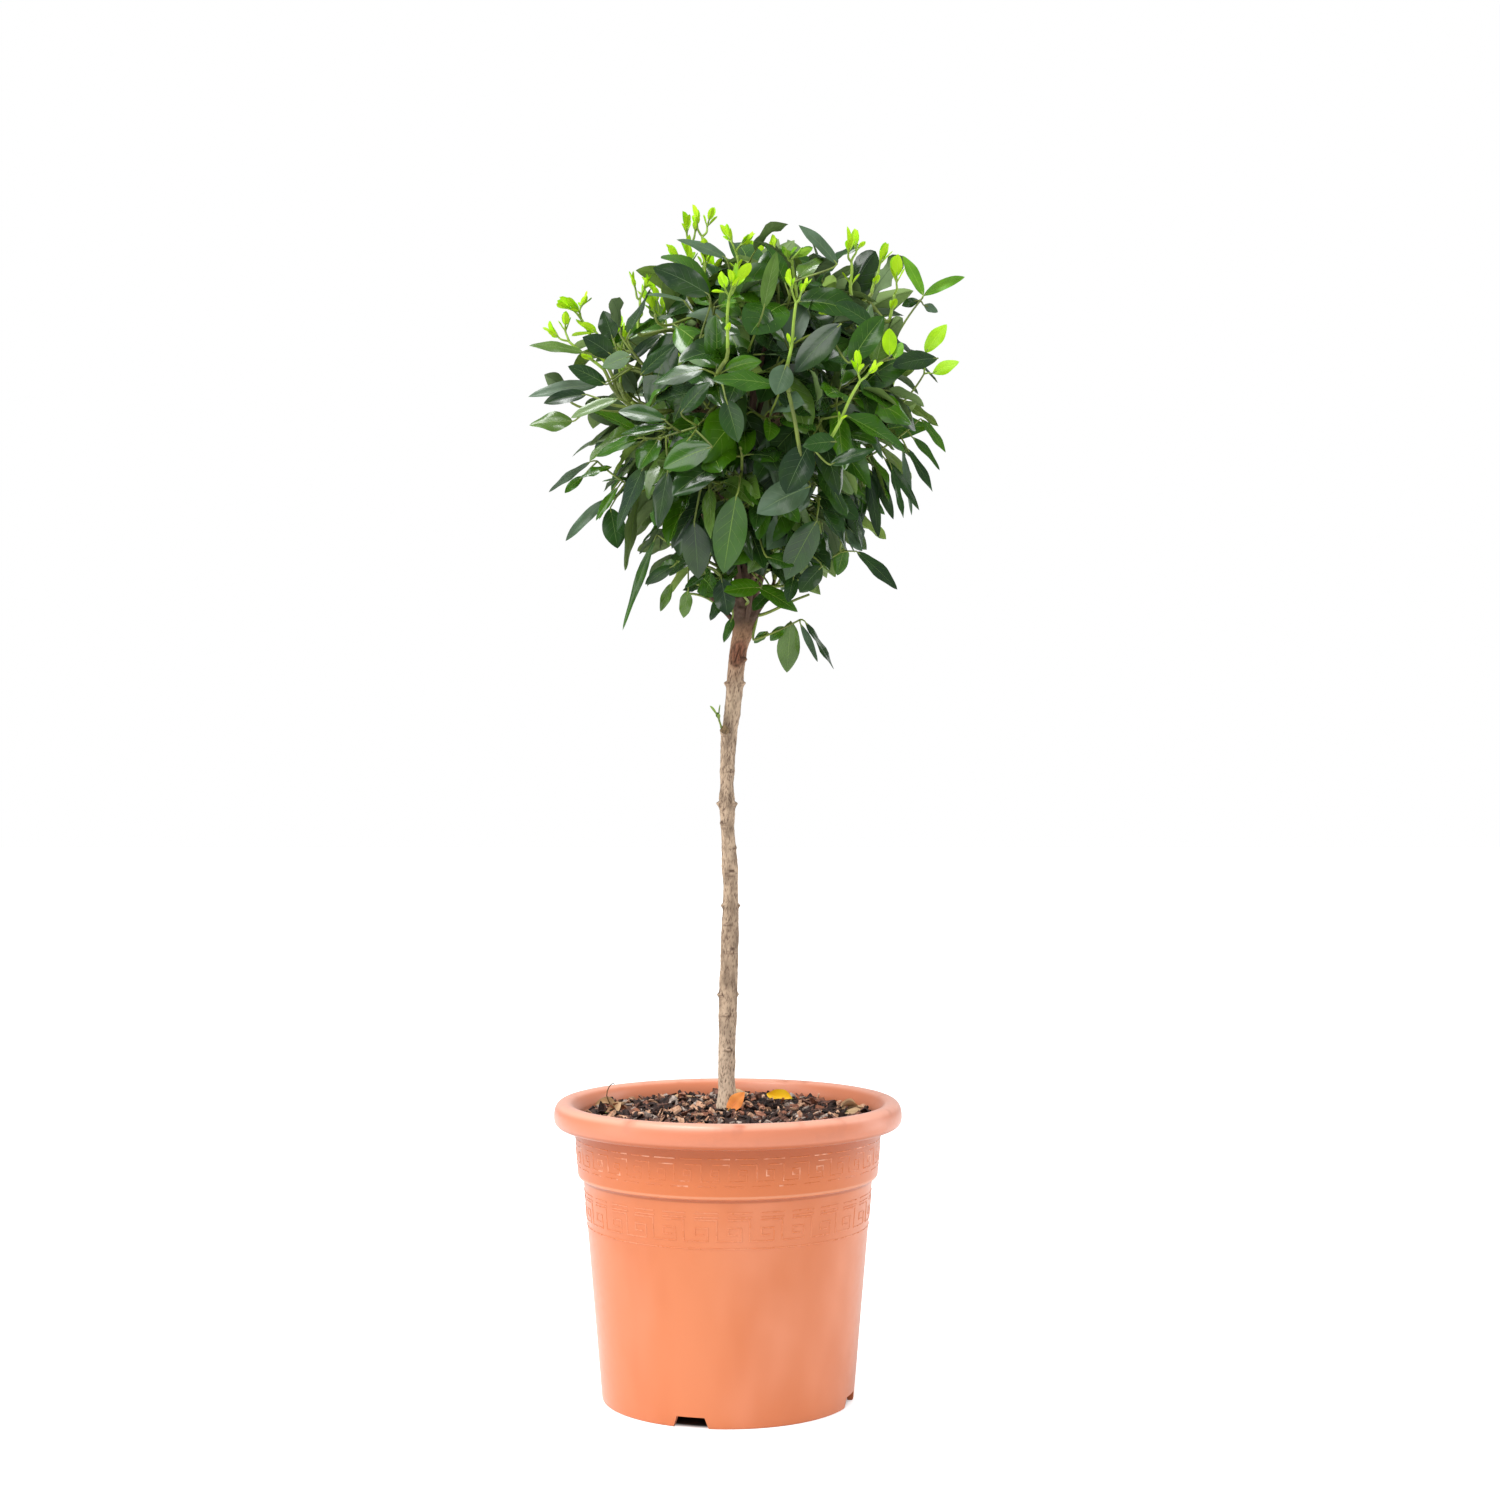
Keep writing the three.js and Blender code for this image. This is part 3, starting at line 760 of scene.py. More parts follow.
def soil_mesh():
    floor = soil_low.z / MM
    corners = [(0, floor), (body_radius(floor) - WALL_GAP, floor), (body_radius(188) - WALL_GAP, 188),
               (126.0, 197), (BED_EDGE, BED_FOOT)]
    rim = [np.array([0.0, floor])]
    for low, high, steps in zip(corners, corners[1:], (3, 6, 2, 3)):
        rim += straight(low, high, steps)
    top = np.linspace(BED_EDGE, 0, 60)[1:-1]
    section = np.vstack([rim, np.stack([top, np.full(len(top), 240)], 1), [[0, 246]]])
    points, fans, quads = spin(section, SOIL_TURNS)
    upper = points[:, 2] >= BED_FOOT
    points[upper, 2] = soil_height(points[upper, 0], points[upper, 1])
    return pour_mesh("soil_bed", points * MM, [fans, quads])


SOIL_DARK, SOIL_PALE = srgb(58, 42, 34), srgb(92, 70, 56)
soil_finish = finish(
    "damp_soil", SOIL_DARK, SOIL_PALE, (220.0, 0.42, 0.7), (700.0, 1.2, 0.8, 1.0), (0.9, 1.2))
settle(soil_mesh(), [soil_finish], ["soil"])

# %% [markdown]
# A bark chip is a flake split from a log: flat, with seven uneven edges, a little warped and never quite
# level. Each is drawn as a ragged ring of corners with a top and a bottom face, then tipped and dropped
# on the bed. Long slivers, squarish flakes and crumbs come from the same rule.

# %% Chips of bark
CHIP_TONES = {
    "chips_dark": (srgb(70, 49, 43), srgb(37, 26, 23)),
    "chips_brown": (srgb(136, 95, 79), srgb(87, 60, 50)),
    "chips_rust": (srgb(168, 112, 86), srgb(126, 80, 62)),
    "chips_tan": (srgb(222, 178, 146), srgb(180, 134, 104)),
    "chips_grey": (srgb(188, 170, 158), srgb(124, 108, 98)),
}
CHIP_SHARES = (0.42, 0.22, 0.11, 0.13, 0.12)
CHIP_COUNT, CRUMB_COUNT = 1900, 1300
CHIP_SIDES = 7
STEM_FOOT_CLEAR = 7.5


def turn_matrices(yaw, pitch, roll):
    cy, sy, cp, sp, cr, sr = (f(a) for a in (yaw, pitch, roll) for f in (np.cos, np.sin))
    rows = [cy * cp, cy * sp * sr - sy * cr, cy * sp * cr + sy * sr,
            sy * cp, sy * sp * sr + cy * cr, sy * sp * cr - cy * sr,
            -sp, cp * sr, cp * cr]
    return np.stack(rows, -1).reshape(-1, 3, 3)


def scatter_chips(random, count, length_range, thick_range, tilt):
    """Points of count chips, (count, 2 * sides, 3) in millimetres, on the bed."""
    radius = 127.0 * np.sqrt(random.random(count))
    around = random.random(count) * 2 * math.pi
    x, y = radius * np.cos(around), radius * np.sin(around)
    near = np.hypot(x + 1, y) < STEM_FOOT_CLEAR + 3
    x[near] += 14 * np.cos(around[near])
    y[near] += 14 * np.sin(around[near])
    length = length_range[0] + (length_range[1] - length_range[0]) * random.random(count) ** 1.9
    width = length * random.uniform(0.18, 0.72, count)
    thick = random.uniform(*thick_range, count)
    step = np.arange(CHIP_SIDES) + random.uniform(-0.35, 0.35, (count, CHIP_SIDES))
    corner = step * 2 * math.pi / CHIP_SIDES
    reach = random.uniform(0.72, 1.1, (count, CHIP_SIDES))
    ring = np.stack([np.cos(corner) * reach * length[:, None] / 2,
                     np.sin(corner) * reach * width[:, None] / 2], -1)
    warp = random.normal(0, 0.07, (count, CHIP_SIDES)) * length[:, None]
    top = np.dstack([ring * 0.9, warp + thick[:, None] / 2])
    bottom = np.dstack([ring, warp - thick[:, None] / 2])
    chips = np.concatenate([top, bottom], 1)
    yaw, tilts = random.random(count) * 2 * math.pi, random.normal(0, tilt, (2, count))
    chips = np.einsum("nij,nkj->nki", turn_matrices(yaw, *tilts), chips)
    spread = np.hypot(x, y) + length * 0.45
    pull = np.minimum(1, 127.5 / spread)
    x, y = x * pull, y * pull
    lift = soil_height(x, y) + thick * 0.3 + random.random(count) ** 2 * 3.6
    return chips + np.stack([x, y, lift], 1)[:, None]


def chip_faces(count, sides):
    up = [[i, (i + 1) % sides, sides + (i + 1) % sides, sides + i] for i in range(sides)]
    side_quads = np.array([list(reversed(f)) for f in up])
    fan_top = np.array([[0, i, i + 1] for i in range(1, sides - 1)])
    fan_low = np.array([[sides, sides + i + 1, sides + i] for i in range(1, sides - 1)])
    fans = np.vstack([fan_top, fan_low])
    shift = np.arange(count)[:, None, None] * 2 * sides
    return (fans[None] + shift).reshape(-1, 3), (side_quads[None] + shift).reshape(-1, 4)


def build_chips():
    random = np.random.default_rng(21)
    flakes = scatter_chips(random, CHIP_COUNT, (4.0, 20.0), (0.6, 2.0), 0.50)
    crumbs = scatter_chips(random, CRUMB_COUNT, (1.2, 4.0), (0.5, 1.2), 0.8)
    chips = np.vstack([flakes, crumbs])
    far = np.hypot(chips[:, :, 0], chips[:, :, 1])
    squeeze = np.minimum(1, BED_EDGE / far)
    chips[:, :, :2] *= squeeze[:, :, None]
    tone = random.choice(len(CHIP_TONES), len(chips), p=CHIP_SHARES)
    for i, (name, (main, second)) in enumerate(CHIP_TONES.items()):
        mine = chips[tone == i]
        triangles, quads = chip_faces(len(mine), CHIP_SIDES)
        mesh = pour_mesh("mulch_" + name, mine.reshape(-1, 3) * MM, [triangles, quads])
        mesh.set_sharp_from_angle(angle=math.radians(30))
        look = finish(name, main, second, (260.0, 0.35, 0.65, (1.0, 0.5, 1.0)),
                      (1100.0, 1.0, 0.7, 0.95), (0.7, 0.5))
        settle(mesh, [look], ["soil"])


build_chips()

# %% [markdown]
# ## Tubes along a path
# The stem, the boughs, the twigs and the leaf stalks are all round wood of changing thickness. Curves
# with a bevel could draw them, but arrays let the bark's relief be pressed into the same mesh, so one
# helper carries a frame of two side vectors along a path and sets rings of points round it.

# %% Tube helper
def side_vectors(path):
    """Tangents and two side vectors that don't spin, for paths (n, k, 3)."""
    ahead = np.gradient(path, axis=1)
    ahead /= np.linalg.norm(ahead, axis=2, keepdims=True) + 1e-12
    pick = np.where(np.abs(ahead[:, :1, 2:3]) > 0.9, [[[1.0, 0, 0]]], [[[0, 0, 1.0]]])
    side = np.empty_like(path)
    current = pick[:, 0]
    for i in range(path.shape[1]):
        current = current - np.einsum("ij,ij->i", current, ahead[:, i])[:, None] * ahead[:, i]
        current /= np.linalg.norm(current, axis=1)[:, None] + 1e-12
        side[:, i] = current
    return ahead, side, np.cross(ahead, side)


def tubes(paths, radii, around):
    """Closed tubes round paths (n, k, 3) with radii (n, k). Points (n, m, 3), triangles, quads."""
    count, steps = radii.shape
    ahead, side, other = side_vectors(paths)
    angle = np.arange(around) * 2 * math.pi / around
    ring = side[:, :, None] * np.cos(angle)[:, None] + other[:, :, None] * np.sin(angle)[:, None]
    rings = (paths[:, :, None] + ring * radii[:, :, None, None]).reshape(count, steps * around, 3)
    low_end = paths[:, :1] - ahead[:, :1] * radii[:, :1, None] * 0.4
    high_end = paths[:, -1:] + ahead[:, -1:] * radii[:, -1:, None] * 0.6
    points = np.concatenate([rings, low_end, high_end], 1)
    fans, quads = ring_faces(around, steps)
    shift = np.arange(count)[:, None, None] * (steps * around + 2)
    return points, (fans[None] + shift).reshape(-1, 3), (quads[None] + shift).reshape(-1, 4)


# %% [markdown]
# ## The stem
# The stem has tan-grey bark with short dark cracks, a ring where each old leaf pair stood, one pruned
# stub with a sprout, an oval pruning wound, and a dark swollen head under the crown, whose dark is partly
# its own bark and partly painted shade.
# Its line and thickness are felt from the CAD stem with rays, so the two can't drift apart.

# %% Feel the CAD stem
def tree_of(*names):
    """A ray-casting tree of these CAD nodes."""
    points, faces = [], []
    for name in names:
        mesh = nodes[name].data
        base = len(points)
        points += [v.co.copy() for v in mesh.vertices]
        faces += [[base + v for v in face.vertices] for face in mesh.polygons]
    return BVHTree.FromPolygons(points, faces)


def feel_stem(levels):
    tree = tree_of("trunk")
    low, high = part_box("trunk")
    rows = []
    for z in np.linspace(low.z + 0.6 * MM, high.z - 0.6 * MM, levels):
        left = tree.ray_cast(Vector((-1, 0, z)), Vector((1, 0, 0)))[0]
        right = tree.ray_cast(Vector((1, 0, z)), Vector((-1, 0, 0)))[0]
        middle = (left.x + right.x) / 2
        front = tree.ray_cast(Vector((middle, -1, z)), Vector((0, 1, 0)))[0]
        back = tree.ray_cast(Vector((middle, 1, z)), Vector((0, -1, 0)))[0]
        rows.append([middle, (front.y + back.y) / 2, z, (right.x - left.x + back.y - front.y) / 4])
    return np.array(rows)


STEM_LEVELS = 120
stem_rows = feel_stem(STEM_LEVELS)
print("stem: %.1f mm thick at the foot, %.1f mm at its thinnest" % (
    2000 * stem_rows[0, 3], 2000 * stem_rows[:, 3].min()))

# %% [markdown]
# The relief is pressed in as stamps: a bump for each bud scar, a dish with a raised lip for the wound,
# and some four thousand short upright nicks. Every stamp also darkens its own pit through an attribute on
# the mesh, so a crack is dark exactly where it is deep.

# %% Stamps in the bark
STEM_AROUND, STEM_ALONG = 100, 520
SCARS = [  # height above the ground, direction in degrees from the right, size
    (573, 232, 1.5), (512, 182, 1.3), (512, 2, 1.3), (495, 222, 0.8), (452, 280, 1.25), (452, 110, 1.1),
    (424, 192, 1.0), (424, 8, 1.0), (385, 290, 1.2), (385, 118, 1.1), (347, 200, 1.1), (347, 20, 0.9),
    (300, 280, 0.8), (616, 184, 1.3), (616, -6, 1.2), (573, 62, 1.1), (636, 318, 1.1), (540, 300, 0.7),
    (408, 250, 0.6), (330, 262, 0.7), (474, 330, 0.6),
]
WOUND = {"height": 641.0, "turn": 266, "tall": 12.5, "wide": 7.6}
WOUND_CRACKS = ((0.0, 1.0, 8.5), (-3.6, 0.6, 6.0), (3.4, 0.7, 7.0))  # place across, depth, half the length
NICK_COUNT = 4400


def stamp(field, away_x, away_z, wide, tall, depth, power=2):
    """Adds a soft dimple or bump to a field over (across, along) distances."""
    field += depth * np.exp(-(np.abs(away_x / wide) ** power + np.abs(away_z / tall) ** power))


def stem_points():
    share = np.linspace(0, 1, STEM_ALONG)
    rows_share = np.linspace(0, 1, len(stem_rows))
    line = np.stack([np.interp(share, rows_share, stem_rows[:, i]) for i in range(4)], 1)
    soft = np.ones(9) / 9
    for i in (0, 1):
        line[4:-4, i] = np.convolve(line[:, i], soft, "valid")
    line /= MM
    angle = np.arange(STEM_AROUND) * 2 * math.pi / STEM_AROUND
    radius = line[:, 3:4] * 1.015
    z = np.repeat(line[:, 2:3], STEM_AROUND, 1)
    arc = radius * angle[None]
    round_about = 2 * math.pi * radius
    lift, dark, raw = (np.zeros_like(z) for _ in range(3))
    random = np.random.default_rng(5)

    def away(turn_degrees):
        gap = arc - radius * math.radians(turn_degrees % 360)
        return (gap + round_about / 2) % round_about - round_about / 2

    for height, turn, size in SCARS:
        across = away(turn)
        stamp(lift, across, z - height, 2.9 * size, 2.3 * size, 1.5 * size)
        stamp(lift, across, z - height - 1.6 * size, 1.7 * size, 0.9 * size, -1.3 * size)
        stamp(dark, across, z - height - 1.4 * size, 1.9 * size, 1.0 * size, 1.0, 4)
        stamp(lift, across, z - height, 5.5, 1.6, 0.55)
        stamp(dark, across, z - height + 2.2 * size, 6.5, 0.5, 0.45, 4)
        for side in (-1, 1):
            stamp(dark, across - side * 3.2 * size, z - height + 0.4, 1.8, 0.45, 0.7, 4)
    across, up = away(WOUND["turn"]), z - WOUND["height"]
    ring = np.hypot(across / WOUND["wide"], up / WOUND["tall"])
    lift += 1.1 * np.exp(-((ring - 1.0) / 0.2) ** 2) - 1.5 * np.exp(-(ring / 0.78) ** 4)
    raw += np.exp(-(ring / 0.95) ** 6)
    for aside, strength, half in WOUND_CRACKS:
        crack = (across - aside - 0.9 * np.sin(up / 3.1 + aside)) / 0.75
        deep = strength * np.exp(-crack**2 - (up / half) ** 6)
        lift -= 1.4 * deep
        dark += 1.1 * deep
    dark += 0.6 * np.exp(-((ring - 0.82) / 0.09) ** 2)
    column = random.random(NICK_COUNT) * 2 * math.pi
    level = random.uniform(line[0, 2], line[-1, 2], NICK_COUNT)
    for turn, height, size in zip(column, level, random.uniform(0.4, 1.15, NICK_COUNT)):
        row = int(np.searchsorted(line[:, 2], height))
        rows = slice(max(0, row - 5), row + 6)
        gap = arc[rows] - radius[rows] * turn
        gap = (gap + round_about[rows] / 2) % round_about[rows] - round_about[rows] / 2
        wave = gap - 0.25 * np.sin((z[rows] - height) * 1.9 + turn * 7)
        nick = np.exp(-((wave / (0.3 * size)) ** 2 + ((z[rows] - height) / (1.35 * size)) ** 4))
        lift[rows] -= 0.32 * size * nick
        dark[rows] += 0.95 * nick
    base = np.stack([
        line[:, :1] + radius * np.cos(angle), line[:, 1:2] + radius * np.sin(angle), z], -1).reshape(-1, 3)
    lump = 0.55 * lattice_noise(base / [5, 5, 12], 1) + 0.24 * lattice_noise(base / [1.4, 1.4, 4], 2)
    lump += 0.10 * lattice_noise(base / [0.8, 0.8, 1.6], 6)
    head = np.clip((base[:, 2] - 655) / 25, 0, 1)
    lump += head * 2.4 * lattice_noise(base / 6, 9) + head * 1.0 * lattice_noise(base / 2.4, 10)
    lift = lift.reshape(-1) + lump
    out = np.stack([np.tile(np.cos(angle), STEM_ALONG), np.tile(np.sin(angle), STEM_ALONG)], 1)
    base[:, :2] += out * lift[:, None]
    ends = [[line[0, 0], line[0, 1], line[0, 2] - 3], [line[-1, 0], line[-1, 1], line[-1, 2] + 3]]
    return np.vstack([base, ends]), np.clip(dark.reshape(-1), 0, 1), np.clip(raw.reshape(-1), 0, 1)


def store(mesh, label, values):
    layer = mesh.attributes.new(label, "FLOAT", "POINT")
    layer.data.foreach_set("value", np.asarray(values, np.float32))


# %% [markdown]
# Bark is not one colour. It is tan-grey low down, where it is painted paler as painted light, and turns
# red-brown, then dark, towards the head, where the dark is partly the head's own bark and partly painted
# shade under the crown.
# The change goes by height, the pits and the raw wood of the wound come from the stamps, and a stretched
# noise adds the faint streaks that run up the stem.

# %% Bark
# the third tone is painted light: the stem's foot is painted paler, as if better lit
BARK_TAN, BARK_GREY, BARK_FOOT_PAINTED_LIGHT = srgb(188, 163, 137), srgb(138, 117, 96), srgb(214, 190, 164)
# the second tone darkens the head: partly its own darker bark, partly painted shade under the crown
BARK_RED, BARK_HEAD_DARK_AND_SHADE = srgb(154, 116, 88), srgb(84, 62, 48)
PIT_BROWN, RAW_WOOD = srgb(72, 46, 32), srgb(136, 84, 60)


def stamp_mask(tree, label):
    mask = tree.nodes.new("ShaderNodeAttribute")
    mask.attribute_name = label
    return mask.outputs["Fac"]


def bark_finish(name, with_stamps):
    material = finish(
        name, BARK_TAN, BARK_GREY, (190.0, 0.40, 0.66, (1.0, 1.0, 0.32)),
        (1500.0, 1.0, 0.72, 0.95, (1.0, 1.0, 0.3)), (0.6, 0.4))
    recolour(
        material,
        # painted light: the stem is painted paler towards its foot
        (BARK_FOOT_PAINTED_LIGHT, rise_mask, 0.36, 0.25),
        (BARK_GREY, weak_mask, 0.3, belt_mask, 0.375, 0.415, 0.040),
        (BARK_RED, rise_mask, 0.600, 0.650),
        # partly the head's own darker bark, partly painted shade under the crown
        (BARK_HEAD_DARK_AND_SHADE, rise_mask, 0.654, 0.672),
    )
    if with_stamps:
        recolour(material, (RAW_WOOD, stamp_mask, "raw"), (PIT_BROWN, stamp_mask, "pit"))
    return material


stem_bark = bark_finish("stem_bark", True)


def stem_mesh():
    points, dark, raw = stem_points()
    fans, quads = ring_faces(STEM_AROUND, STEM_ALONG)
    mesh = pour_mesh("stem", points * MM, [fans, quads])
    store(mesh, "pit", np.append(dark * 0.85, [0, 0]))
    store(mesh, "raw", np.append(raw * 0.9, [0, 0]))
    return mesh


settle(stem_mesh(), [stem_bark], ["trunk"])

# %% [markdown]
# ## Boughs
# Boughs leave the head in tiers, bend outwards and end just inside the masses of leaves. Each follows its
# CAD limb: the far end is felt from the limb's own mesh, and the near end starts inside the wood.

# %% Lines of the boughs
CROWN_AXIS = 14 * MM
TIERS = {  # where a tier starts, how far from the stem's middle, and its thickness there and at its end
    "skirt": (0.664, 0.0105, 0.0023, 0.0018),
    "lower": (0.676, 0.0095, 0.0027, 0.0020),
    "middle": (0.684, 0.0075, 0.0032, 0.0022),
    "upper": (0.812, 0.0015, 0.0023, 0.0018),
    "leader": (0.684, 0.0, 0.0042, 0.0022),
}


def axis_at(z):
    if z > stem_rows[-1, 2]:
        lead = np.clip((z - stem_rows[-1, 2]) / 0.25, 0, 1)
        return np.array([stem_rows[-1, 0] + lead * 0.006, 0.0, z])
    return np.array([np.interp(z, stem_rows[:, 2], stem_rows[:, 0]), 0.0, z])


def bough_lines(steps=28):
    lines = {}
    for name in sorted(n for n in nodes if n.startswith("bough_")):
        tier = name.split("_")[1]
        start_height, away, thick, thin = TIERS[tier]
        points = np.array([v.co for v in nodes[name].data.vertices])
        start = axis_at(start_height)
        order = np.argsort(np.linalg.norm(points - start, axis=1))
        end = points[order[-6:]].mean(0)
        way = end - [CROWN_AXIS, 0, 0]
        way[2] = 0
        way /= np.linalg.norm(way) + 1e-9
        first = start + way * away * 0.45 if tier != "leader" else start
        control = (first + end) / 2 + [0, 0, 0.04 * np.linalg.norm(end - first)]
        t = np.linspace(0, 1, steps)[:, None]
        curve = (1 - t) ** 2 * first + 2 * t * (1 - t) * control + t**2 * end
        curve = np.vstack([start, curve]) if tier != "leader" else np.vstack([start - [0, 0, 0.01], curve])
        share = np.linspace(0, 1, len(curve))
        lines[name] = (curve, np.interp(share, [0, 0.06, 0.22, 1], [thick * 2.0, thick * 1.7, thick, thin]))
    return lines


boughs = bough_lines()
print("boughs: %d" % len(boughs))

# %% Bark on the boughs
BOUGH_AROUND = 14


def wood_mesh(name, paths, radii, around, rough):
    """Tubes with bark relief: the relief is as deep as rough times the radius."""
    points, fans, quads = tubes(paths, radii, around)
    shape = points.shape
    middle = np.concatenate([np.repeat(paths, around, 1), paths[:, :1], paths[:, -1:]], 1)
    flat = points.reshape(-1, 3) / MM
    relief = 0.6 * lattice_noise(flat / [2.2, 2.2, 4.5], 12) + 0.4 * lattice_noise(flat / 1.1, 13)
    points = middle + (points - middle) * (1 + rough * relief.reshape(shape[0], shape[1], 1))
    return pour_mesh(name, points.reshape(-1, 3), [fans, quads])


bough_bark = bark_finish("bough_bark", False)
bough_names = list(boughs)
bough_paths = np.array([boughs[n][0] for n in bough_names])
bough_radii = np.array([boughs[n][1] for n in bough_names])
settle(wood_mesh("boughs", bough_paths, bough_radii, BOUGH_AROUND, 0.13), [bough_bark], bough_names)

# %% [markdown]
# ## Where the shoots end
# A clipped shrub carries its leaves at the ends of its shoots, all over the outside of the ball. Ends
# could be placed by hand, but a seeded throw of darts spreads them evenly: a spot on the outer face of a
# mass is kept if no other end is too near. The ball is more open at its left. Each end then sits a little
# inside, some further than others, so the leaves reach out just to the mass's own surface and the outline
# stays ragged.

# %% Throw the shoot ends
masses = sorted(n for n in nodes if n.startswith("foliage_") and "spray" not in n)
sprays = sorted(n for n in nodes if "spray" in n)
ball = tree_of(*masses)
outline = tree_of(*masses, *sprays)
CROWN_MIDDLE = np.array([CROWN_AXIS, 0.0, 0.845])
SPACINGS = [-0.10, -0.03, 0.08, 0.14], [0.052, 0.0415, 0.0415, 0.047]  # by x: room round each shoot's end
FAR = 0.6  # rays start this far out, beyond every mass
THROWS = 90  # darts at each mass
SKIN = 0.006  # how near the crown's outer face a dart has to land


def depth_inside(point, tree=None):
    """How far inside the crown's outline a point lies, measured towards the crown's middle."""
    way = np.asarray(point) - CROWN_MIDDLE
    away = np.linalg.norm(way) + 1e-9
    way = Vector(way / away)
    hit = (tree or outline).ray_cast(Vector(CROWN_MIDDLE) + way * FAR, -way)[0]
    if hit is None:
        return -1.0
    return (hit - Vector(CROWN_MIDDLE)).length - away


def throw_ends(random):
    spots, owners = [], []
    for name in masses:
        mesh = nodes[name].data
        corners = np.array([[mesh.vertices[v].co[:] for v in f.vertices] for f in mesh.polygons])
        edge = np.cross(corners[:, 1] - corners[:, 0], corners[:, 2] - corners[:, 0])
        area = np.linalg.norm(edge, axis=1)
        picks = random.choice(len(corners), THROWS, p=area / area.sum())
        u, v = np.sqrt(random.random(THROWS)), random.random(THROWS)
        for f, a, b in zip(picks, u, v):
            spot = corners[f, 0] * (1 - a) + corners[f, 1] * a * (1 - b) + corners[f, 2] * a * b
            if abs(depth_inside(spot, ball)) < SKIN:
                spots.append(spot)
                owners.append(name)
    order = random.permutation(len(spots))
    kept = []
    for i in order:
        spacing = np.interp(spots[i][0], *SPACINGS)
        if all(np.linalg.norm(spots[i] - spots[j]) > spacing for j in kept):
            kept.append(i)
    return [(spots[i], owners[i]) for i in kept]


random = np.random.default_rng(31)
ends = throw_ends(random)
print("shoot ends: %d" % len(ends))

# %% [markdown]
# Each end also needs a heading. At the top the shoots stand up, at the sides they lean out and turn up,
# and round the skirt they hang. The heading is the way out of the crown, with a lift that fades towards
# the foot.

# %% Give each end its heading
INSETS = [0.66, 0.76, 0.92, 1.0], [0.024, 0.036, 0.040, 0.038]  # by height: how far inside its skin it ends
LIFTS = [0.66, 0.78, 0.9, 1.0], [-0.15, 0.3, 0.8, 1.2]  # by height: how much it turns up


def heading_at(spot):
    out = spot - (CROWN_MIDDLE - [0, 0, 0.03])
    out /= np.linalg.norm(out)
    way = out + np.array([0, 0, np.interp(spot[2], *LIFTS)]) + random.normal(0, 0.16, 3)
    return way / np.linalg.norm(way)


def shoot_ends():
    found = []
    for spot, owner in ends:
        way = heading_at(spot)
        inset = np.interp(spot[2], *INSETS) * random.uniform(0.65, 1.5)
        out = spot - CROWN_MIDDLE
        out /= np.linalg.norm(out)
        found.append({"at": spot - out * inset, "way": way, "mass": owner, "skin": spot})
    return found


shoots = shoot_ends()

# %% [markdown]
# ## Twigs
# Inside a mass the wood forks in two again and again until every shoot has its own twig. The rule splits
# the ends into two groups that lie together, walks part of the way to their middle, and forks there.
# Thickness nearly follows the old rule of thumb that two branches together hold as much wood as the one.

# %% The forking rule
TIP_RADIUS = 1.05 * MM
LEAFY_LENGTH = 0.070
twigs = []  # each: path (k, 3), radius at each end, and the shoot it carries, "stalk" or None


def split_in_two(spots):
    apart = np.linalg.norm(spots[:, None] - spots[None], axis=2)
    i, j = np.unravel_index(apart.argmax(), apart.shape)
    middles = spots[[i, j]].copy()
    for _ in range(6):
        side = np.linalg.norm(spots[:, None] - middles[None], axis=2).argmin(1)
        for k in (0, 1):
            if (side == k).any():
                middles[k] = spots[side == k].mean(0)
    return side == 0


def soft_line(start, start_way, end, end_way, steps, stray=0.0):
    """A smooth path that leaves along one way and arrives along another."""
    reach = np.linalg.norm(end - start)
    t = np.linspace(0, 1, steps)[:, None]
    path = ((2 * t**3 - 3 * t**2 + 1) * start + (t**3 - 2 * t**2 + t) * start_way * reach
            + (-2 * t**3 + 3 * t**2) * end + (t**3 - t**2) * end_way * reach)
    if stray:
        push = random.normal(0, stray, 3)
        path += np.sin(math.pi * t) * push + np.sin(2 * math.pi * t) * random.normal(0, stray * 0.6, 3)
    return path


def grow(start, way, group):
    """Forks from start towards a group of shoots, and adds the twigs."""
    spots = np.array([s["at"] for s in group])
    if len(group) == 1:
        shoot = group[0]
        path = soft_line(start, way * 0.7, shoot["at"], shoot["way"] * 0.9, 16, 0.002)
        twigs.append((path, TIP_RADIUS * 1.5, TIP_RADIUS, shoot))
        shoot["path"] = path
        return
    middle = spots.mean(0)
    reach = np.linalg.norm(spots - start, axis=1).min()
    step = np.clip(reach - LEAFY_LENGTH, 0.010, 0.5 * reach + 0.004) * random.uniform(0.75, 1.0)
    ahead = middle - start
    ahead /= np.linalg.norm(ahead) + 1e-9
    ahead = ahead + way * 0.35
    ahead /= np.linalg.norm(ahead)
    fork = start + ahead * step
    thick = TIP_RADIUS * 1.1 * len(group) ** 0.45
    twigs.append((soft_line(start, way * 0.8, fork, ahead * 0.8, 8, 0.0012), thick * 1.08, thick, None))
    first = split_in_two(spots)
    for side in (first, ~first):
        members = [s for s, mine in zip(group, side) if mine]
        if members:
            grow(fork, ahead, members)


def bough_of(mass):
    return "bough_leader" if mass == "foliage_top" else mass.replace("foliage", "bough")


for mass in masses:
    group = [s for s in shoots if s["mass"] == mass]
    if group:
        line = boughs[bough_of(mass)][0]
        way = line[-1] - line[-3]
        grow(line[-1] - way * 0.4, way / np.linalg.norm(way), group)
print("twigs: %d" % len(twigs))

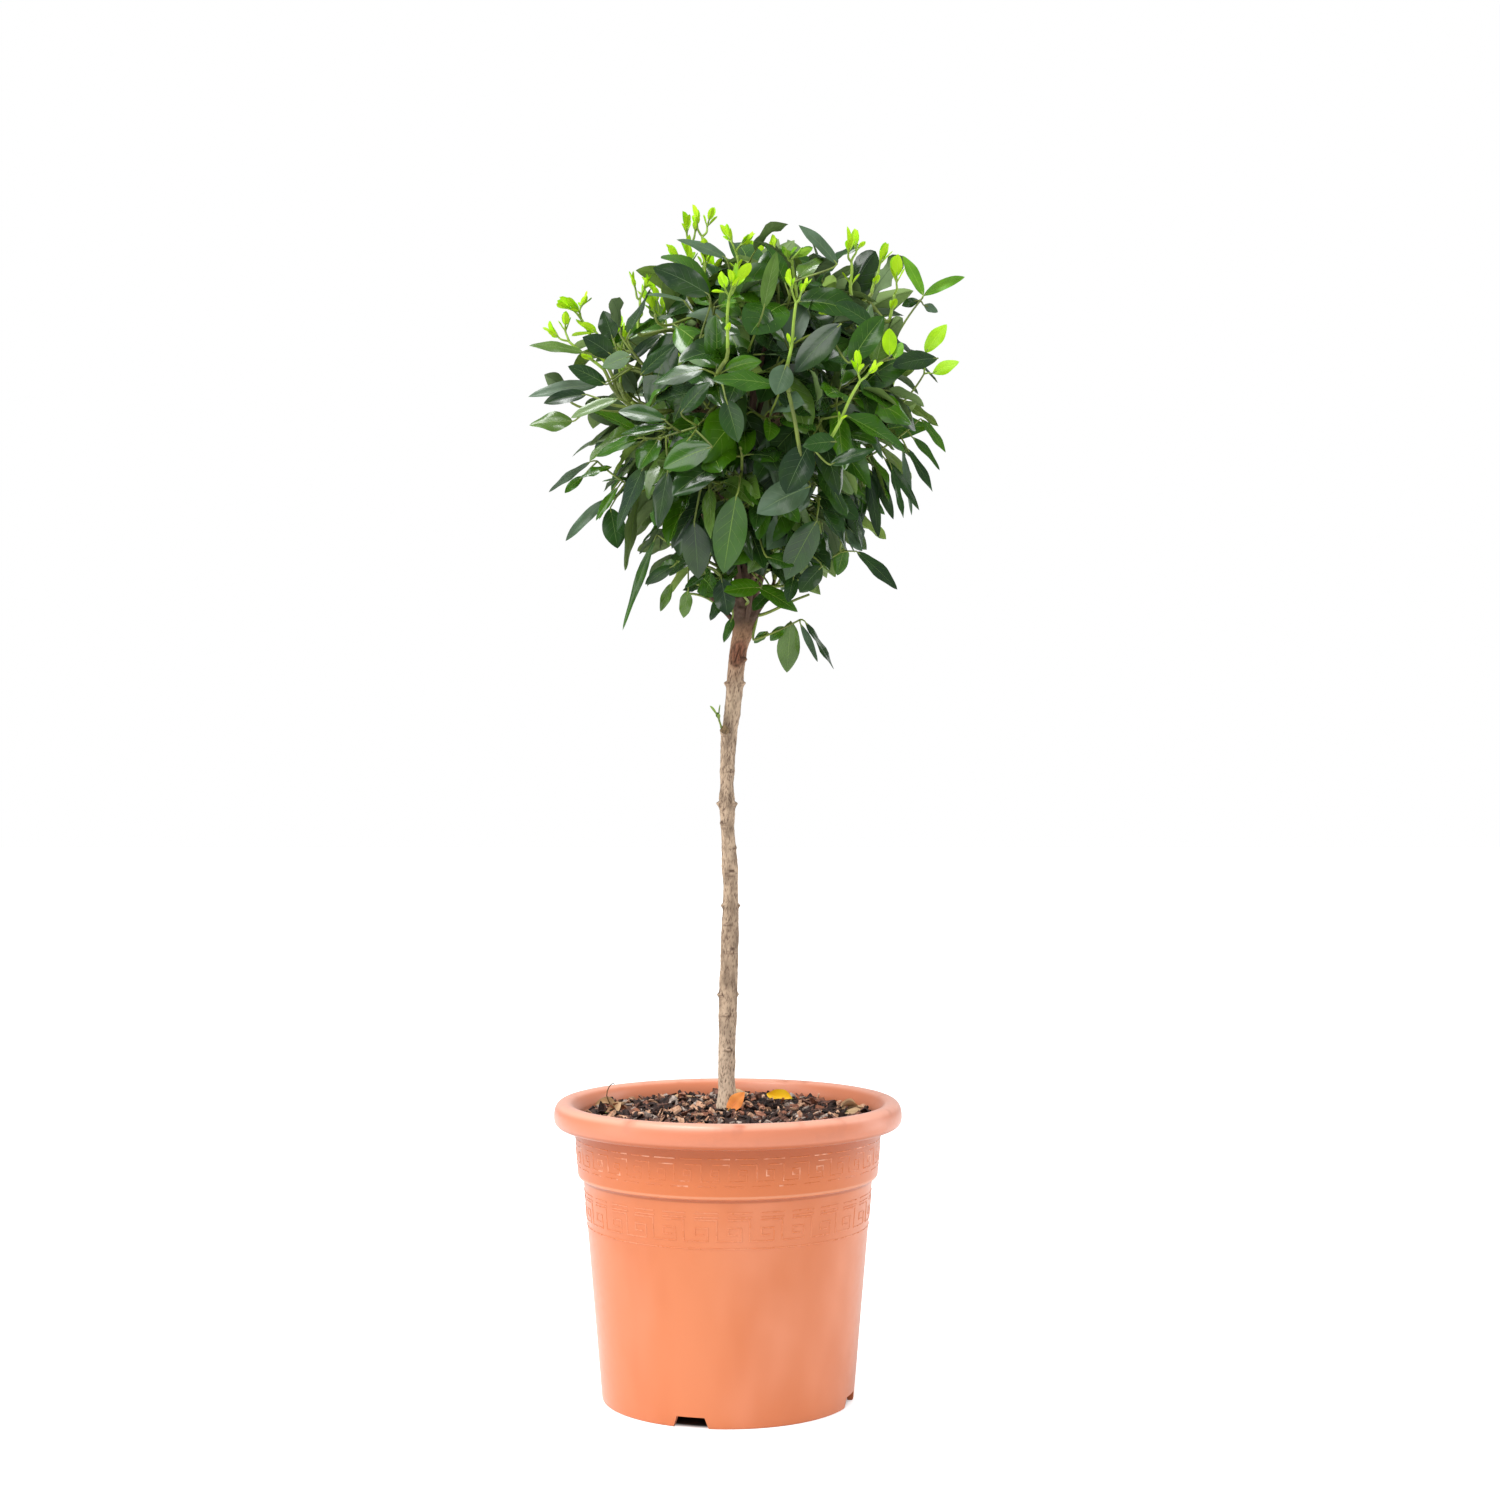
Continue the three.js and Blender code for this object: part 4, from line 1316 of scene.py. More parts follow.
# %% [markdown]
# ## One leaf
# The leaves are leathery, glossy and dark, mostly 25 to 70 mm long, with a fine pale rib down the middle,
# and they stand in opposite pairs. A flat card would look like paper, so a leaf is a thin closed shell: a
# dark face, a paler back, a raised rib and faint side veins. The blade folds along its rib, its edges roll
# under, and its own weight bends it down. All leaves share one grid, so one set of weights makes every
# part. The small leaves of the young growth take fewer steps of the same grid.

# %% The grid and the parts that hang on it
ROWS, COLUMNS = 12, 6
BLADE = 0.30 * MM
RIB_SHARE = 0.026  # half of the rib's width, as a share of half the leaf's
rows_at = 0.5 - 0.5 * np.cos(np.pi * (np.arange(ROWS + 1) / ROWS))
rows_at = 0.45 * rows_at + 0.55 * np.arange(ROWS + 1) / ROWS
columns_at = np.linspace(-1, 1, COLUMNS + 1)


def grid_weights(along, across):
    """Weights over the (rows x columns) grid for a spot at along 0..1 and across -1..1."""
    row = min(np.searchsorted(rows_at, along, "right") - 1, ROWS - 1)
    column = min(int((across + 1) / 2 * COLUMNS), COLUMNS - 1)
    u = (along - rows_at[row]) / (rows_at[row + 1] - rows_at[row])
    v = (across - columns_at[column]) / (columns_at[column + 1] - columns_at[column])
    weights = np.zeros((ROWS + 1, COLUMNS + 1))
    weights[row, column] = (1 - u) * (1 - v)
    weights[row + 1, column] = u * (1 - v)
    weights[row, column + 1] = (1 - u) * v
    weights[row + 1, column + 1] = u * v
    return weights.reshape(-1)


UPPER, UNDER, RIB, VEIN = 0, 1, 2, 3  # the four finishes on a leaf


def leaf_template(steps, lanes, with_veins):
    """Weights, lifts and faces of one leaf: every point is a weighted mean of grid points plus a lift."""
    weights, lifts, triangles, quads, kinds3, kinds4 = [], [], [], [], [], []
    rows, columns = len(steps) - 1, len(lanes) - 1

    def point(along, across, lift):
        weights.append(grid_weights(along, across))
        lifts.append(lift)
        return len(lifts) - 1

    def add_grid(grid, kind, turned):
        """Quads between rows of points. Turned ones look the other way."""
        for low, high in zip(grid[:-1], grid[1:]):
            for j in range(len(low) - 1):
                quad = [low[j], low[j + 1], high[j + 1], high[j]]
                quads.append([quad[0], *quad[:0:-1]] if turned else quad)
                kinds4.append(kind)

    base, tip = point(0, 0, 0), point(1, 0, 0)
    face = [[point(steps[i], c, 0) for c in lanes] for i in range(1, rows)]
    back = [
        [line[0]] + [point(steps[i + 1], c, -BLADE * (1 - 0.5 * abs(c))) for c in lanes[1:-1]] + [line[-1]]
        for i, line in enumerate(face)
    ]
    for grid, kind in ((face, UPPER), (back, UNDER)):
        add_grid(grid, kind, kind == UNDER)
        for j in range(columns):
            for fan in ([base, grid[0][j + 1], grid[0][j]], [tip, grid[-1][j], grid[-1][j + 1]]):
                triangles.append(fan if kind == UPPER else fan[::-1])
                kinds3.append(kind)
    for side, swell, skin, crest in ((1, 1.0, 0.05 * MM, 0.12), (-1, 1.7, -BLADE - 0.03 * MM, 0.42)):
        lines = []
        for i in range(rows):
            wide = RIB_SHARE * (1 - 0.55 * steps[i]) * swell if 0 < i else 0.0
            high = crest * MM * (1 - 0.6 * steps[i])
            across = (-wide, skin), (0, skin + side * high), (wide, skin)
            lines.append([point(steps[i], place, lift) for place, lift in across])
        add_grid(lines, RIB, side < 0)
    for start in (0.16, 0.30, 0.44, 0.58) if with_veins else ():
        for side in (-1, 1):
            begin = start + 0.015 * side
            spots = [(begin, 0.05), (begin + 0.065, 1 / 3), (begin + 0.145, 2 / 3), (begin + 0.20, 0.84)]
            rails = []
            for (along, across), wide in zip(spots, (0.0045, 0.0040, 0.0032, 0.0012)):
                rails.append([point(along + edge, side * across, 0.08 * MM) for edge in (-wide, wide)])
            add_grid(rails, VEIN, side > 0)
    return (np.array(weights), np.array(lifts), np.array(triangles), np.array(quads),
            np.array(kinds3), np.array(kinds4))


GROWN_LEAF = leaf_template(rows_at, columns_at, True)
PLAIN_LEAF = leaf_template(rows_at, columns_at, False)
SMALL_LEAF = leaf_template(rows_at[::2], (-1.0, -0.5, 0.0, 0.5, 1.0), False)
for label, leaf in (("grown", GROWN_LEAF), ("plain", PLAIN_LEAF), ("small", SMALL_LEAF)):
    print("one %s leaf: %d points, %d triangles" % (label, len(leaf[0]), len(leaf[2]) + 2 * len(leaf[3])))

# %% [markdown]
# The numbers of a leaf say how long and wide it is, which way it sets off, how far its weight bends it,
# which way its face looks, and how it folds, rolls, twists and ripples. They are kept as one row each,
# and the blades of a whole tone are then bent at once.

# %% Bend the blades
leaves = []  # one dictionary of numbers for each leaf
UP = np.array([0.0, 0.0, 1.0])


def unit(vectors):
    vectors = np.asarray(vectors, float)
    return vectors / (np.linalg.norm(vectors, axis=-1, keepdims=True) + 1e-12)


def column(rows, label):
    return np.array([row[label] for row in rows], float)


def bend_blades(rows):
    """Grid points (n, rows, columns, 3) and their normals for these leaves."""
    def number(label):
        return column(rows, label)[:, None, None]

    s, v = rows_at[None, :, None], columns_at[None, None, :]
    start = unit(column(rows, "way"))
    drop = start[:, None] + np.array([0, 0, -1.0]) * number("sag") * s**1.1
    veer = number("veer") * np.cross(start, UP)[:, None] * s**1.5
    ahead = unit(drop + veer)
    step = np.diff(rows_at)[None, :, None] * number("long")
    middle = (ahead[:, 1:] + ahead[:, :-1]) / 2 * step
    line = np.concatenate([np.zeros((len(rows), 1, 3)), np.cumsum(middle, 1)], 1)
    line = line + column(rows, "at")[:, None]
    face = unit(column(rows, "face"))[:, None]
    normal = unit(face - np.sum(face * ahead, 2, keepdims=True) * ahead)
    side = np.cross(ahead, normal)
    turn = number("roll") + number("twist") * s
    normal, side = normal * np.cos(turn) + side * np.sin(turn), side * np.cos(turn) - normal * np.sin(turn)
    low, high = column(rows, "low")[:, None], column(rows, "high")[:, None]
    peak = low / (low + high)
    outline_of = rows_at[None] ** low * (1 - rows_at[None]) ** high
    half = outline_of / (peak**low * (1 - peak) ** high) * column(rows, "wide")[:, None] / 2
    fold, under = number("fold"), number("roll_under")
    wave = number("waves") * 2 * math.pi * s + number("start") + 1.7 * np.sign(v)
    ripple = number("ripple") * np.sin(wave)
    lift = np.sin(fold) * np.abs(v) - under * v**2 + ripple * v**2
    across = v * (np.cos(fold) - 0.12 * under * v**2)
    grid = (line[:, :, None] + side[:, :, None] * (across * half[:, :, None])[..., None]
            + normal[:, :, None] * (lift * half[:, :, None])[..., None])
    along, over = np.gradient(grid, axis=1), np.gradient(grid, axis=2)
    up = np.cross(over, along)
    weak = np.linalg.norm(up, axis=3, keepdims=True) < 1e-12
    up = np.where(weak, normal[:, :, None], up)
    return grid, unit(up)


def leaf_mesh(name, rows, template):
    share, lifts, triangle, quad, kind3, kind4 = template
    grid, up = bend_blades(rows)
    count = len(rows)
    flat, flat_up = grid.reshape(count, -1, 3), up.reshape(count, -1, 3)
    points = np.einsum("pw,nwk->npk", share, flat)
    points = points + lifts[None, :, None] * np.einsum("pw,nwk->npk", share, flat_up)
    shift = np.arange(count)[:, None, None] * len(share)
    triangles = (triangle[None] + shift).reshape(-1, 3)
    quads = (quad[None] + shift).reshape(-1, 4)
    kinds = np.concatenate([np.tile(kind3, count), np.tile(kind4, count)])
    mesh = pour_mesh(name, points.reshape(-1, 3), [triangles, quads], kinds)
    crease_between_kinds(mesh)
    return mesh


def crease_between_kinds(mesh):
    """Keeps the shading crisp where a leaf's face meets its back."""
    sides = np.empty(len(mesh.polygons), np.int32)
    kinds = np.empty(len(mesh.polygons), np.int32)
    mesh.polygons.foreach_get("loop_total", sides)
    mesh.polygons.foreach_get("material_index", kinds)
    edge = np.empty(len(mesh.loops), np.int32)
    mesh.loops.foreach_get("edge_index", edge)
    of_corner = np.repeat(kinds, sides)
    least, most = np.full(len(mesh.edges), 9), np.full(len(mesh.edges), -1)
    np.minimum.at(least, edge, of_corner)
    np.maximum.at(most, edge, of_corner)
    sharp = mesh.attributes.new("sharp_edge", "BOOLEAN", "EDGE")
    sharp.data.foreach_set("value", least != most)


# %% [markdown]
# ## Leaves on a shoot
# On this shrub two leaves face each other at every node, and each pair stands square to the last. Young
# pairs near the end point forward, older ones spread and hang. How much they hang depends on where they
# grow: nearly level on top of the ball, slanting round its sides, and down round the skirt. Each leaf
# turns its face outwards to the light.

# %% Place a pair of leaves
stalks = []  # path corners and thickness of each leaf stalk
TONES = ["deep", "dark", "mid", "fresh", "grey", "pale", "young", "lime"]
OLD_TONES = ["yellow", "orange", "rust", "dry"]
NODE_STEPS = (0.003, 0.011, 0.023, 0.038, 0.056)  # distance of each pair from the end of the shoot


def out_of_crown(point):
    way = np.asarray(point) - CROWN_MIDDLE
    return way / (np.linalg.norm(way) + 1e-9)


def level_out(point):
    """The level way out of the crown's axis."""
    return unit((np.asarray(point) - CROWN_MIDDLE) * [1, 1, 0])


SHAPE_LABELS = ("fold", "roll_under", "ripple", "waves", "start", "low", "high")
SEEDED_SHAPE = (0.18, 0.68), (0.0, 0.5), (0.05, 0.22), (1.2, 2.6), (0, 6.28), (0.62, 0.82), (0.72, 0.98)
NAMED_SHAPE = (0.18, 0.45), (0.1, 0.4), (0.06, 0.16), (1.2, 2.2), (0, 6.28), (0.66, 0.80), (0.76, 0.96)


def draw_shape(ranges):
    """The numbers that fold, roll, ripple and outline one blade, each drawn from its own range."""
    return {label: random.uniform(*span) for label, span in zip(SHAPE_LABELS, ranges)}


def add_leaf(node, way, axis, long, wide, sag, tone, stalk=0.010, **changes):
    """One leaf with its stalk. way is where it sets off to, axis the shoot that its face looks along."""
    way = unit(way)
    foot = node + way * stalk + UP * stalk * 0.12
    leaf = {
        "at": foot, "way": unit(way + np.array([0, 0, -0.10])), "long": long, "wide": wide, "sag": sag,
        "face": (0.30 * axis + random.uniform(0.0, 1.1) * UP + 0.9 * level_out(node)
                 + random.normal(0, 0.24, 3)),
        "roll": random.normal(0, 0.20), "twist": random.normal(0, 0.35), "veer": random.normal(0, 0.20),
        **draw_shape(SEEDED_SHAPE), "tone": tone,
    }
    leaf.update(changes)
    leaves.append(leaf)
    stalks.append((node, (node + foot) / 2 + UP * stalk * 0.10, foot, foot + leaf["way"] * 0.004, 0.8 * MM))
    return leaf


def tip_of(leaf):
    return leaf["at"] + unit(leaf["way"] + np.array([0, 0, -0.5]) * leaf["sag"]) * leaf["long"] * 0.95


def middle_of(leaf):
    return (leaf["at"] + tip_of(leaf)) / 2


def keep_only(wanted):
    """Drops the leaves that aren't wanted, each with its stalk."""
    kept = [(leaf, stalk) for leaf, stalk in zip(leaves, stalks) if wanted(leaf)]
    leaves[:] = [leaf for leaf, _ in kept]
    stalks[:] = [stalk for _, stalk in kept]


def at_arc(path, back):
    """The point and heading on a path, this far back from its end."""
    pieces = np.diff(path, axis=0)
    lengths = np.linalg.norm(pieces, axis=1)
    from_end = np.concatenate([[0], np.cumsum(lengths[::-1])])
    back = min(back, from_end[-1] * 0.98)
    i = min(np.searchsorted(from_end, back, "right") - 1, len(lengths) - 1)
    k = len(lengths) - 1 - i
    share = (back - from_end[i]) / lengths[k]
    return path[k + 1] * (1 - share) + path[k] * share, pieces[k] / lengths[k]


# %% [markdown]
# Tone is dealt out by shoot. A shoot is mostly deep blue-green, plain green or fresh green, and each of
# its leaves may step one tone away, the way leaves of one season differ by age and light. Here and there
# a leaf is a dull grey-green or a pale green.

# %% Dress a shoot
SHOOT_TONES = {"deep": 0.22, "dark": 0.28, "mid": 0.30, "fresh": 0.20}
ODD_SHARE = 0.17  # leaves that are dull grey-green or pale, whatever their shoot
PAIR_LENGTHS = (0.042, 0.055, 0.062, 0.060, 0.053)
PAIR_SPREADS = (38, 56, 68, 76, 82)  # degrees away from the shoot
REACH = 0.002  # how far a leaf may stand out of the crown's outline
SHORTEST = 0.62  # a leaf that has to be cut shorter than this is left out
LOWEST = 0.686  # no seeded leaf hangs lower, so the head of the stem stays in sight
HANGS = [0.68, 0.76, 0.84, 0.95], [0.9, 0.6, 0.3, 0.05]  # by height: how much the leaves hang
FLATNESS = [0.70, 0.90], [0.6, 0.8]  # by height: how much of a leaf's own rise is kept
SPARSE_SHARES = [-0.10, -0.02, 0.10, 0.15], [0.24, 0.06, 0.06, 0.20]  # by x: leaves that are left out


def leaf_tone(shoot_tone, index):
    odd = random.random()
    if odd < ODD_SHARE:
        return "grey" if odd < 0.4 * ODD_SHARE else "pale"
    step = random.choice([-1, 0, 0, 0, 1]) - (1 if index == 0 and random.random() < 0.3 else 0)
    place = int(np.clip(TONES.index(shoot_tone) - (step < 0) + (step > 0), 0, 3))
    return TONES[place]


def side_way(axis, turn):
    first = np.cross(axis, [0.0, 1.0, 0.15])
    if np.linalg.norm(first) < 0.2:
        first = np.cross(axis, [1.0, 0.0, 0.1])
    first = unit(first)
    return first * math.cos(turn) + np.cross(axis, first) * math.sin(turn)


def dress(shoot, pairs, tone=None, size=1.0, free=False):
    path = shoot["path"]
    tone = tone or random.choice(list(SHOOT_TONES), p=list(SHOOT_TONES.values()))
    turn = random.uniform(0, math.pi)
    vigour, hang = random.uniform(0.84, 1.16) * size, random.uniform(0.4, 1.4)
    for index in range(pairs):
        node, axis = at_arc(path, NODE_STEPS[index] * random.uniform(0.85, 1.15))
        spread = math.radians(PAIR_SPREADS[index]) + random.normal(0, 0.15)
        level = hang * np.interp(node[2], *HANGS)
        flat = np.interp(node[2], *FLATNESS)
        for side in (0, math.pi):
            across = side_way(axis, turn + side + random.normal(0, 0.2))
            way = axis * math.cos(spread) + across * math.sin(spread)
            way = unit(way * [1, 1, flat] + np.array([0, 0, -level * random.uniform(0.2, 1.6)]))
            long = np.clip(PAIR_LENGTHS[index] * vigour * random.uniform(0.78, 1.2), 0.028, 0.076)
            wide = long * random.uniform(0.42, 0.60)
            sag = random.uniform(0.15, 0.8) + level * 0.4
            mine = leaf_tone(tone, index)
            leaf = add_leaf(node, way, axis, long, wide, sag, mine, random.uniform(0.006, 0.014))
            out = -depth_inside(tip_of(leaf))
            over = max(out - REACH - random.exponential(0.004), 0.0)
            share = 1 - over / leaf["long"]
            hidden = out < -0.055 and random.random() < 0.5
            sparse = random.random() < np.interp(node[0], *SPARSE_SHARES)
            low = tip_of(leaf)[2] < np.interp(node[0], [0.0, 0.05], [LOWEST, LOWEST + 0.010])
            if not free and (share < SHORTEST or hidden or sparse or low):
                leaves.pop()
                stalks.pop()
            elif not free:
                leaf["long"] *= share
                leaf["wide"] *= share**0.6
        turn += math.pi / 2 + random.normal(0, 0.15)


for shoot in shoots:
    dress(shoot, random.choice([3, 4, 5], p=[0.22, 0.45, 0.33]))

# %% [markdown]
# The old wood at the head, where the stem forks, breaks into short leafy shoots too. They hide the fork.
# The ball is looser low at both sides, where the sky shows between hanging leaves, so some are thinned.

# %% Shoots from the head
HEAD_SHOOTS = 13
HEAD_TURN = math.radians(137.5)  # each shoot stands this far round from the last
HEAD_START, HEAD_STEP = 0.674, 0.004  # height of the first shoot, and from one to the next


def head_shoots():
    for k in range(HEAD_SHOOTS):
        turn = k * HEAD_TURN + random.normal(0, 0.2)
        out = np.array([math.cos(turn), math.sin(turn), 0.0])
        middle = axis_at(HEAD_START + HEAD_STEP * k)
        start = middle + out * 0.010
        end = middle + out * random.uniform(0.042, 0.062) + UP * random.uniform(0.006, 0.026)
        path = soft_line(start, out * 0.7 + UP * 0.3, end, unit(out + UP * 0.4), 16, 0.002)
        twigs.append((path, 1.6 * MM, 1.0 * MM, "stalk"))
        dress({"path": path}, random.choice([3, 4]), size=0.80)


head_shoots()
print("leaves on shoots: %d" % len(leaves))

# %% Open the lower sides
OPEN_PLACES = (  # across and height in millimetres, and the share of leaves that is taken out
    ((-118, -32), (690, 790), 0.62),
    ((92, 180), (700, 790), 0.56),
)


def open_up(across, height, share):
    def stays(leaf):
        x, _, z = middle_of(leaf) / MM
        inside = across[0] < x < across[1] and height[0] < z < height[1]
        return not inside or random.random() > share

    keep_only(stays)


for place in OPEN_PLACES:
    open_up(*place)
print("leaves after the opening: %d" % len(leaves))

# %% [markdown]
# ## Leaves that stand out
# A few dozen leaves in front catch the eye and give the crown its face: a broad one lies across the
# middle, dark ones hang below it, and long ones reach out to the left. The throw of darts can't know
# them, so they are named, each with its foot, tip and width. A twig grows to each from the nearest wood,
# and seeded leaves that would cover it are taken off.

# %% Set the leaves that stand out
WOOD_BEHIND = 0.020  # how far behind a named leaf its wood is looked for
AT_FRONT = (-0.1, -0.90, 0.36)  # a face turned to the window
SHOW_LEAVES = [  # foot, tip and width in millimetres, tone, and the way its face looks if not outwards
    ((40, -158, 850), (-10, -166, 853), 24, "mid"),
    ((-30, -126, 812), (-46, -124, 790), 22, "mid"),
    ((-56, -114, 812), (-71, -120, 787), 27, "mid"),
    ((-12, -138, 803), (-50, -134, 786), 27, "mid"),
    ((-68, -112, 790), (-89, -106, 739), 30, "deep"),
    ((-48, -122, 785), (-56, -116, 741), 20, "deep"),
    ((8, -126, 765), (-2, -116, 704), 29, "mid"),
    ((68, -120, 773), (26, -118, 751), 29, "grey"),
    ((97, -140, 828), (143, -130, 800), 29, "mid"),
    ((92, -152, 900), (57, -150, 862), 26, "deep"),
    ((-14, -150, 924), (-58, -142, 947), 24, "deep"),
    ((74, -95, 747), (50, -84, 700), 28, "dark"),
    ((67, -134, 806), (49, -138, 766), 30, "deep"),
    ((-27, -98, 746), (-24, -90, 701), 27, "deep"),
    ((28, -66, 694), (-2, -72, 690), 22, "fresh"),
    ((26, -64, 694), (58, -58, 674), 23, "fresh"),
    ((-5, -66, 702), (0, -72, 671), 20, "deep"),
    ((-132, -30, 838), (-168, -32, 834), 24, "pale", AT_FRONT),
    ((-122, -40, 895), (-167, -44, 900), 14, "pale", (-0.1, -0.7, 0.7)),
    ((-110, -30, 869), (-168, -34, 858), 15, "grey", AT_FRONT),
    ((-119, -50, 858), (-154, -52, 850), 14, "deep", AT_FRONT),
    ((-92, -60, 853), (-130, -64, 836), 12, "pale", AT_FRONT),
    ((-98, -44, 892), (-122, -46, 907), 22, "deep", AT_FRONT),
    ((-98, -30, 908), (-106, -28, 932), 19, "deep", AT_FRONT),
    ((-84, -50, 905), (-45, -60, 923), 12, "mid", (0.0, -0.6, 0.8)),
    ((-72, -70, 872), (-42, -80, 896), 16, "dark", AT_FRONT),
    ((-1, -50, 973), (-42, -48, 989), 16, "grey", (0.0, -0.7, 0.7)),
    ((-36, -60, 935), (-68, -58, 941), 14, "grey", (0.0, -0.6, 0.8)),
    ((-50, -122, 827), (-88, -112, 835), 17, "dark"),
    ((-50, -124, 821), (-86, -114, 816), 13, "dark"),
    ((-37, -128, 832), (-14, -134, 856), 20, "dark"),
    ((-72, -116, 813), (-106, -104, 799), 14, "mid"),
    ((0, -160, 838), (9, -158, 805), 22, "dark"),
    ((-18, -164, 862), (-58, -156, 851), 19, "dark"),
    ((30, -155, 912), (40, -150, 958), 14, "pale"),
    ((90, -118, 955), (60, -110, 988), 14, "grey"),
    ((48, -160, 866), (40, -164, 842), 22, "grey"),
    ((178, -41, 890), (140, -58, 880), 20, "deep"),
    ((118, -120, 905), (88, -128, 921), 22, "dark"),
    ((100, -148, 870), (126, -140, 908), 24, "mid"),
    ((88, -148, 806), (62, -150, 802), 17, "dark"),
    ((84, -144, 788), (120, -140, 801), 13, "dark"),
    ((4, -24, 671), (-3, -28, 650), 12, "mid"),
    ((-3, -36, 690), (-14, -42, 668), 14, "dark"),
    ((-24, -56, 724), (-48, -60, 704), 18, "deep"),
    ((-19, -60, 706), (-35, -64, 694), 14, "dark"),
    ((33, -86, 718), (55, -88, 710), 18, "mid"),
    ((79, -76, 711), (61, -82, 689), 18, "deep"),
    ((56, -66, 704), (51, -72, 682), 13, "dark"),
    ((36, -40, 692), (22, -46, 676), 12, "dark"),
    ((-103, -46, 867), (-134, -48, 882), 17, "dark", AT_FRONT),
    ((-81, -58, 889), (-105, -54, 880), 18, "mid", AT_FRONT),
    ((-84, -54, 884), (-56, -60, 907), 11, "deep", AT_FRONT),
    ((122, -112, 874), (129, -114, 901), 22, "pale", AT_FRONT),
    ((133, -118, 880), (133, -117, 902), 13, "lime", AT_FRONT),
    ((137, -118, 878), (143, -116, 891), 10, "young", AT_FRONT),
]


def nearest_wood(spot):
    """The point on a twig that lies most nearly behind a spot, and the way a side shoot would leave it."""
    inward, best = -out_of_crown(spot), None
    for path, *_ in twigs:
        gap = path - spot
        depth = gap @ inward
        aside = np.linalg.norm(gap - depth[:, None] * inward, axis=1)
        cost = 1.7 * aside + np.abs(depth - WOOD_BEHIND)
        k = int(cost.argmin())
        if best is None or cost[k] < best[0]:
            best = (cost[k], path[k], unit(path[min(k + 1, len(path) - 1)] - path[max(k - 1, 0)]))
    return best[1], unit(0.5 * best[2] + unit(spot - best[1]))


def clear_before(foot, tip, wide, behind=0.006):
    """Takes off the seeded leaves that lie over a strip from foot to tip, as seen from the front."""
    run = tip - foot
    out = unit(np.array(EYE) - (foot + tip) / 2)

    def stays(leaf):
        end, covered = tip_of(leaf), False
        for share in (0.15, 0.4, 0.65, 0.9):
            gap = leaf["at"] * (1 - share) + end * share - foot
            gap = gap - run * np.clip(gap @ run / (run @ run), 0, 1)
            along = gap @ out
            covered |= along > -behind and np.linalg.norm(gap - along * out) < wide
        return leaf.get("set") or not covered

    keep_only(stays)


def set_leaf(foot, tip, wide, tone, root=None, face=None, **changes):
    """A named leaf from foot to tip, with a stalk that comes from root or from the nearest wood."""
    foot, tip = np.array(foot) * MM, np.array(tip) * MM
    chord, sag = tip - foot, changes.pop("sag", 0.3)
    way = unit(unit(chord) + UP * 0.5 * sag)
    if root is None:
        root, run = nearest_wood(foot)
        path = soft_line(root, run * 0.6, foot, unit(way + 0.8 * out_of_crown(foot)) * 0.4, 8, 0.0006)
        twigs.append((path, 1.0 * MM, 0.7 * MM, "stalk"))
    else:
        stalks.append((root, (root + foot) / 2 + UP * 0.0006, foot, foot + way * 0.004, 0.8 * MM))
    if face is None:
        face = 0.9 * level_out((foot + tip) / 2) + 0.45 * UP + random.normal(0, 0.10, 3)
    leaf = {
        "at": foot, "way": way, "long": np.linalg.norm(chord) * 1.03, "wide": wide * MM, "sag": sag,
        "face": face, "roll": random.normal(0, 0.08), "twist": random.normal(0, 0.15), "veer": 0.0,
        **draw_shape(NAMED_SHAPE), "tone": tone, "set": True,
    }
    leaf.update(changes)
    leaves.append(leaf)
    if len(stalks) < len(leaves):  # keep one stalk row for each leaf
        stalks.append((foot - way * 0.0006, foot, foot + way * 0.002, foot + way * 0.004, 0.7 * MM))
    return leaf


for foot, tip, wide, *_ in SHOW_LEAVES:
    clear_before(np.array(foot) * MM, np.array(tip) * MM, (0.45 * wide + 1.5) * MM)
for foot, tip, wide, tone, *face in SHOW_LEAVES:
    set_leaf(foot, tip, wide, tone, face=np.array(face[0]) if face else None)
print("leaves after the named ones: %d" % len(leaves))

# %% [markdown]
# ## Young growth
# In spring the upper shoots push up soft lime-coloured candles: a pale stem with two or three pairs of
# small leaves that stand almost upright. One, two or three rise from the end of a shoot. They are built
# with the same leaf, shorter, more folded and hardly bent.

# %% Candles
young_stems = []
CRESTS = 1.026  # nothing stands higher
CANDLE_CHANCES = [0.84, 0.90, 0.96, 1.0], [0.02, 0.34, 0.60, 0.66]  # by height


def small_pair(node, axis, turn, size, spread, tone, broad=(0.44, 0.58)):
    for side in (0, math.pi):
        across = side_way(axis, turn + side)
        angle = spread + random.normal(0, 0.10)
        way = axis * math.cos(angle) + across * math.sin(angle)
        long = size * random.uniform(0.82, 1.15)
        add_leaf(
            node, way, axis, long, long * random.uniform(*broad), random.uniform(-0.15, 0.15),
            tone, 0.002, face=axis, fold=random.uniform(0.2, 0.5), ripple=random.uniform(0.0, 0.04),
            roll_under=random.uniform(-0.1, 0.2), low=0.8, high=0.7, roll=random.normal(0, 0.1),
            veer=0.0, small=True, set=True,
        )


def candle(root, way, tall, size, tone="lime", lift=0.5):
    way = unit(way + UP * lift)
    tall = min(tall, max(CRESTS - root[2] - size, 0.003))
    end = root + way * tall
    path = soft_line(root, way * 0.8, end, unit(way + UP * 0.4), 8, 0.0008)
    young_stems.append((path, 1.1 * MM, 0.8 * MM))
    turn = random.uniform(0, math.pi)
    pairs = ((0.42, 0.62, 0.70), (0.76, 0.72, 0.42), (1.0, 1.0, 0.20))
    for share, part, spread in pairs[(0 if tall > 0.030 else 1):]:
        node, axis = at_arc(path, tall * (1 - share))
        small_pair(node, axis, turn, size * part, spread, tone)
        turn += math.pi / 2
    return path


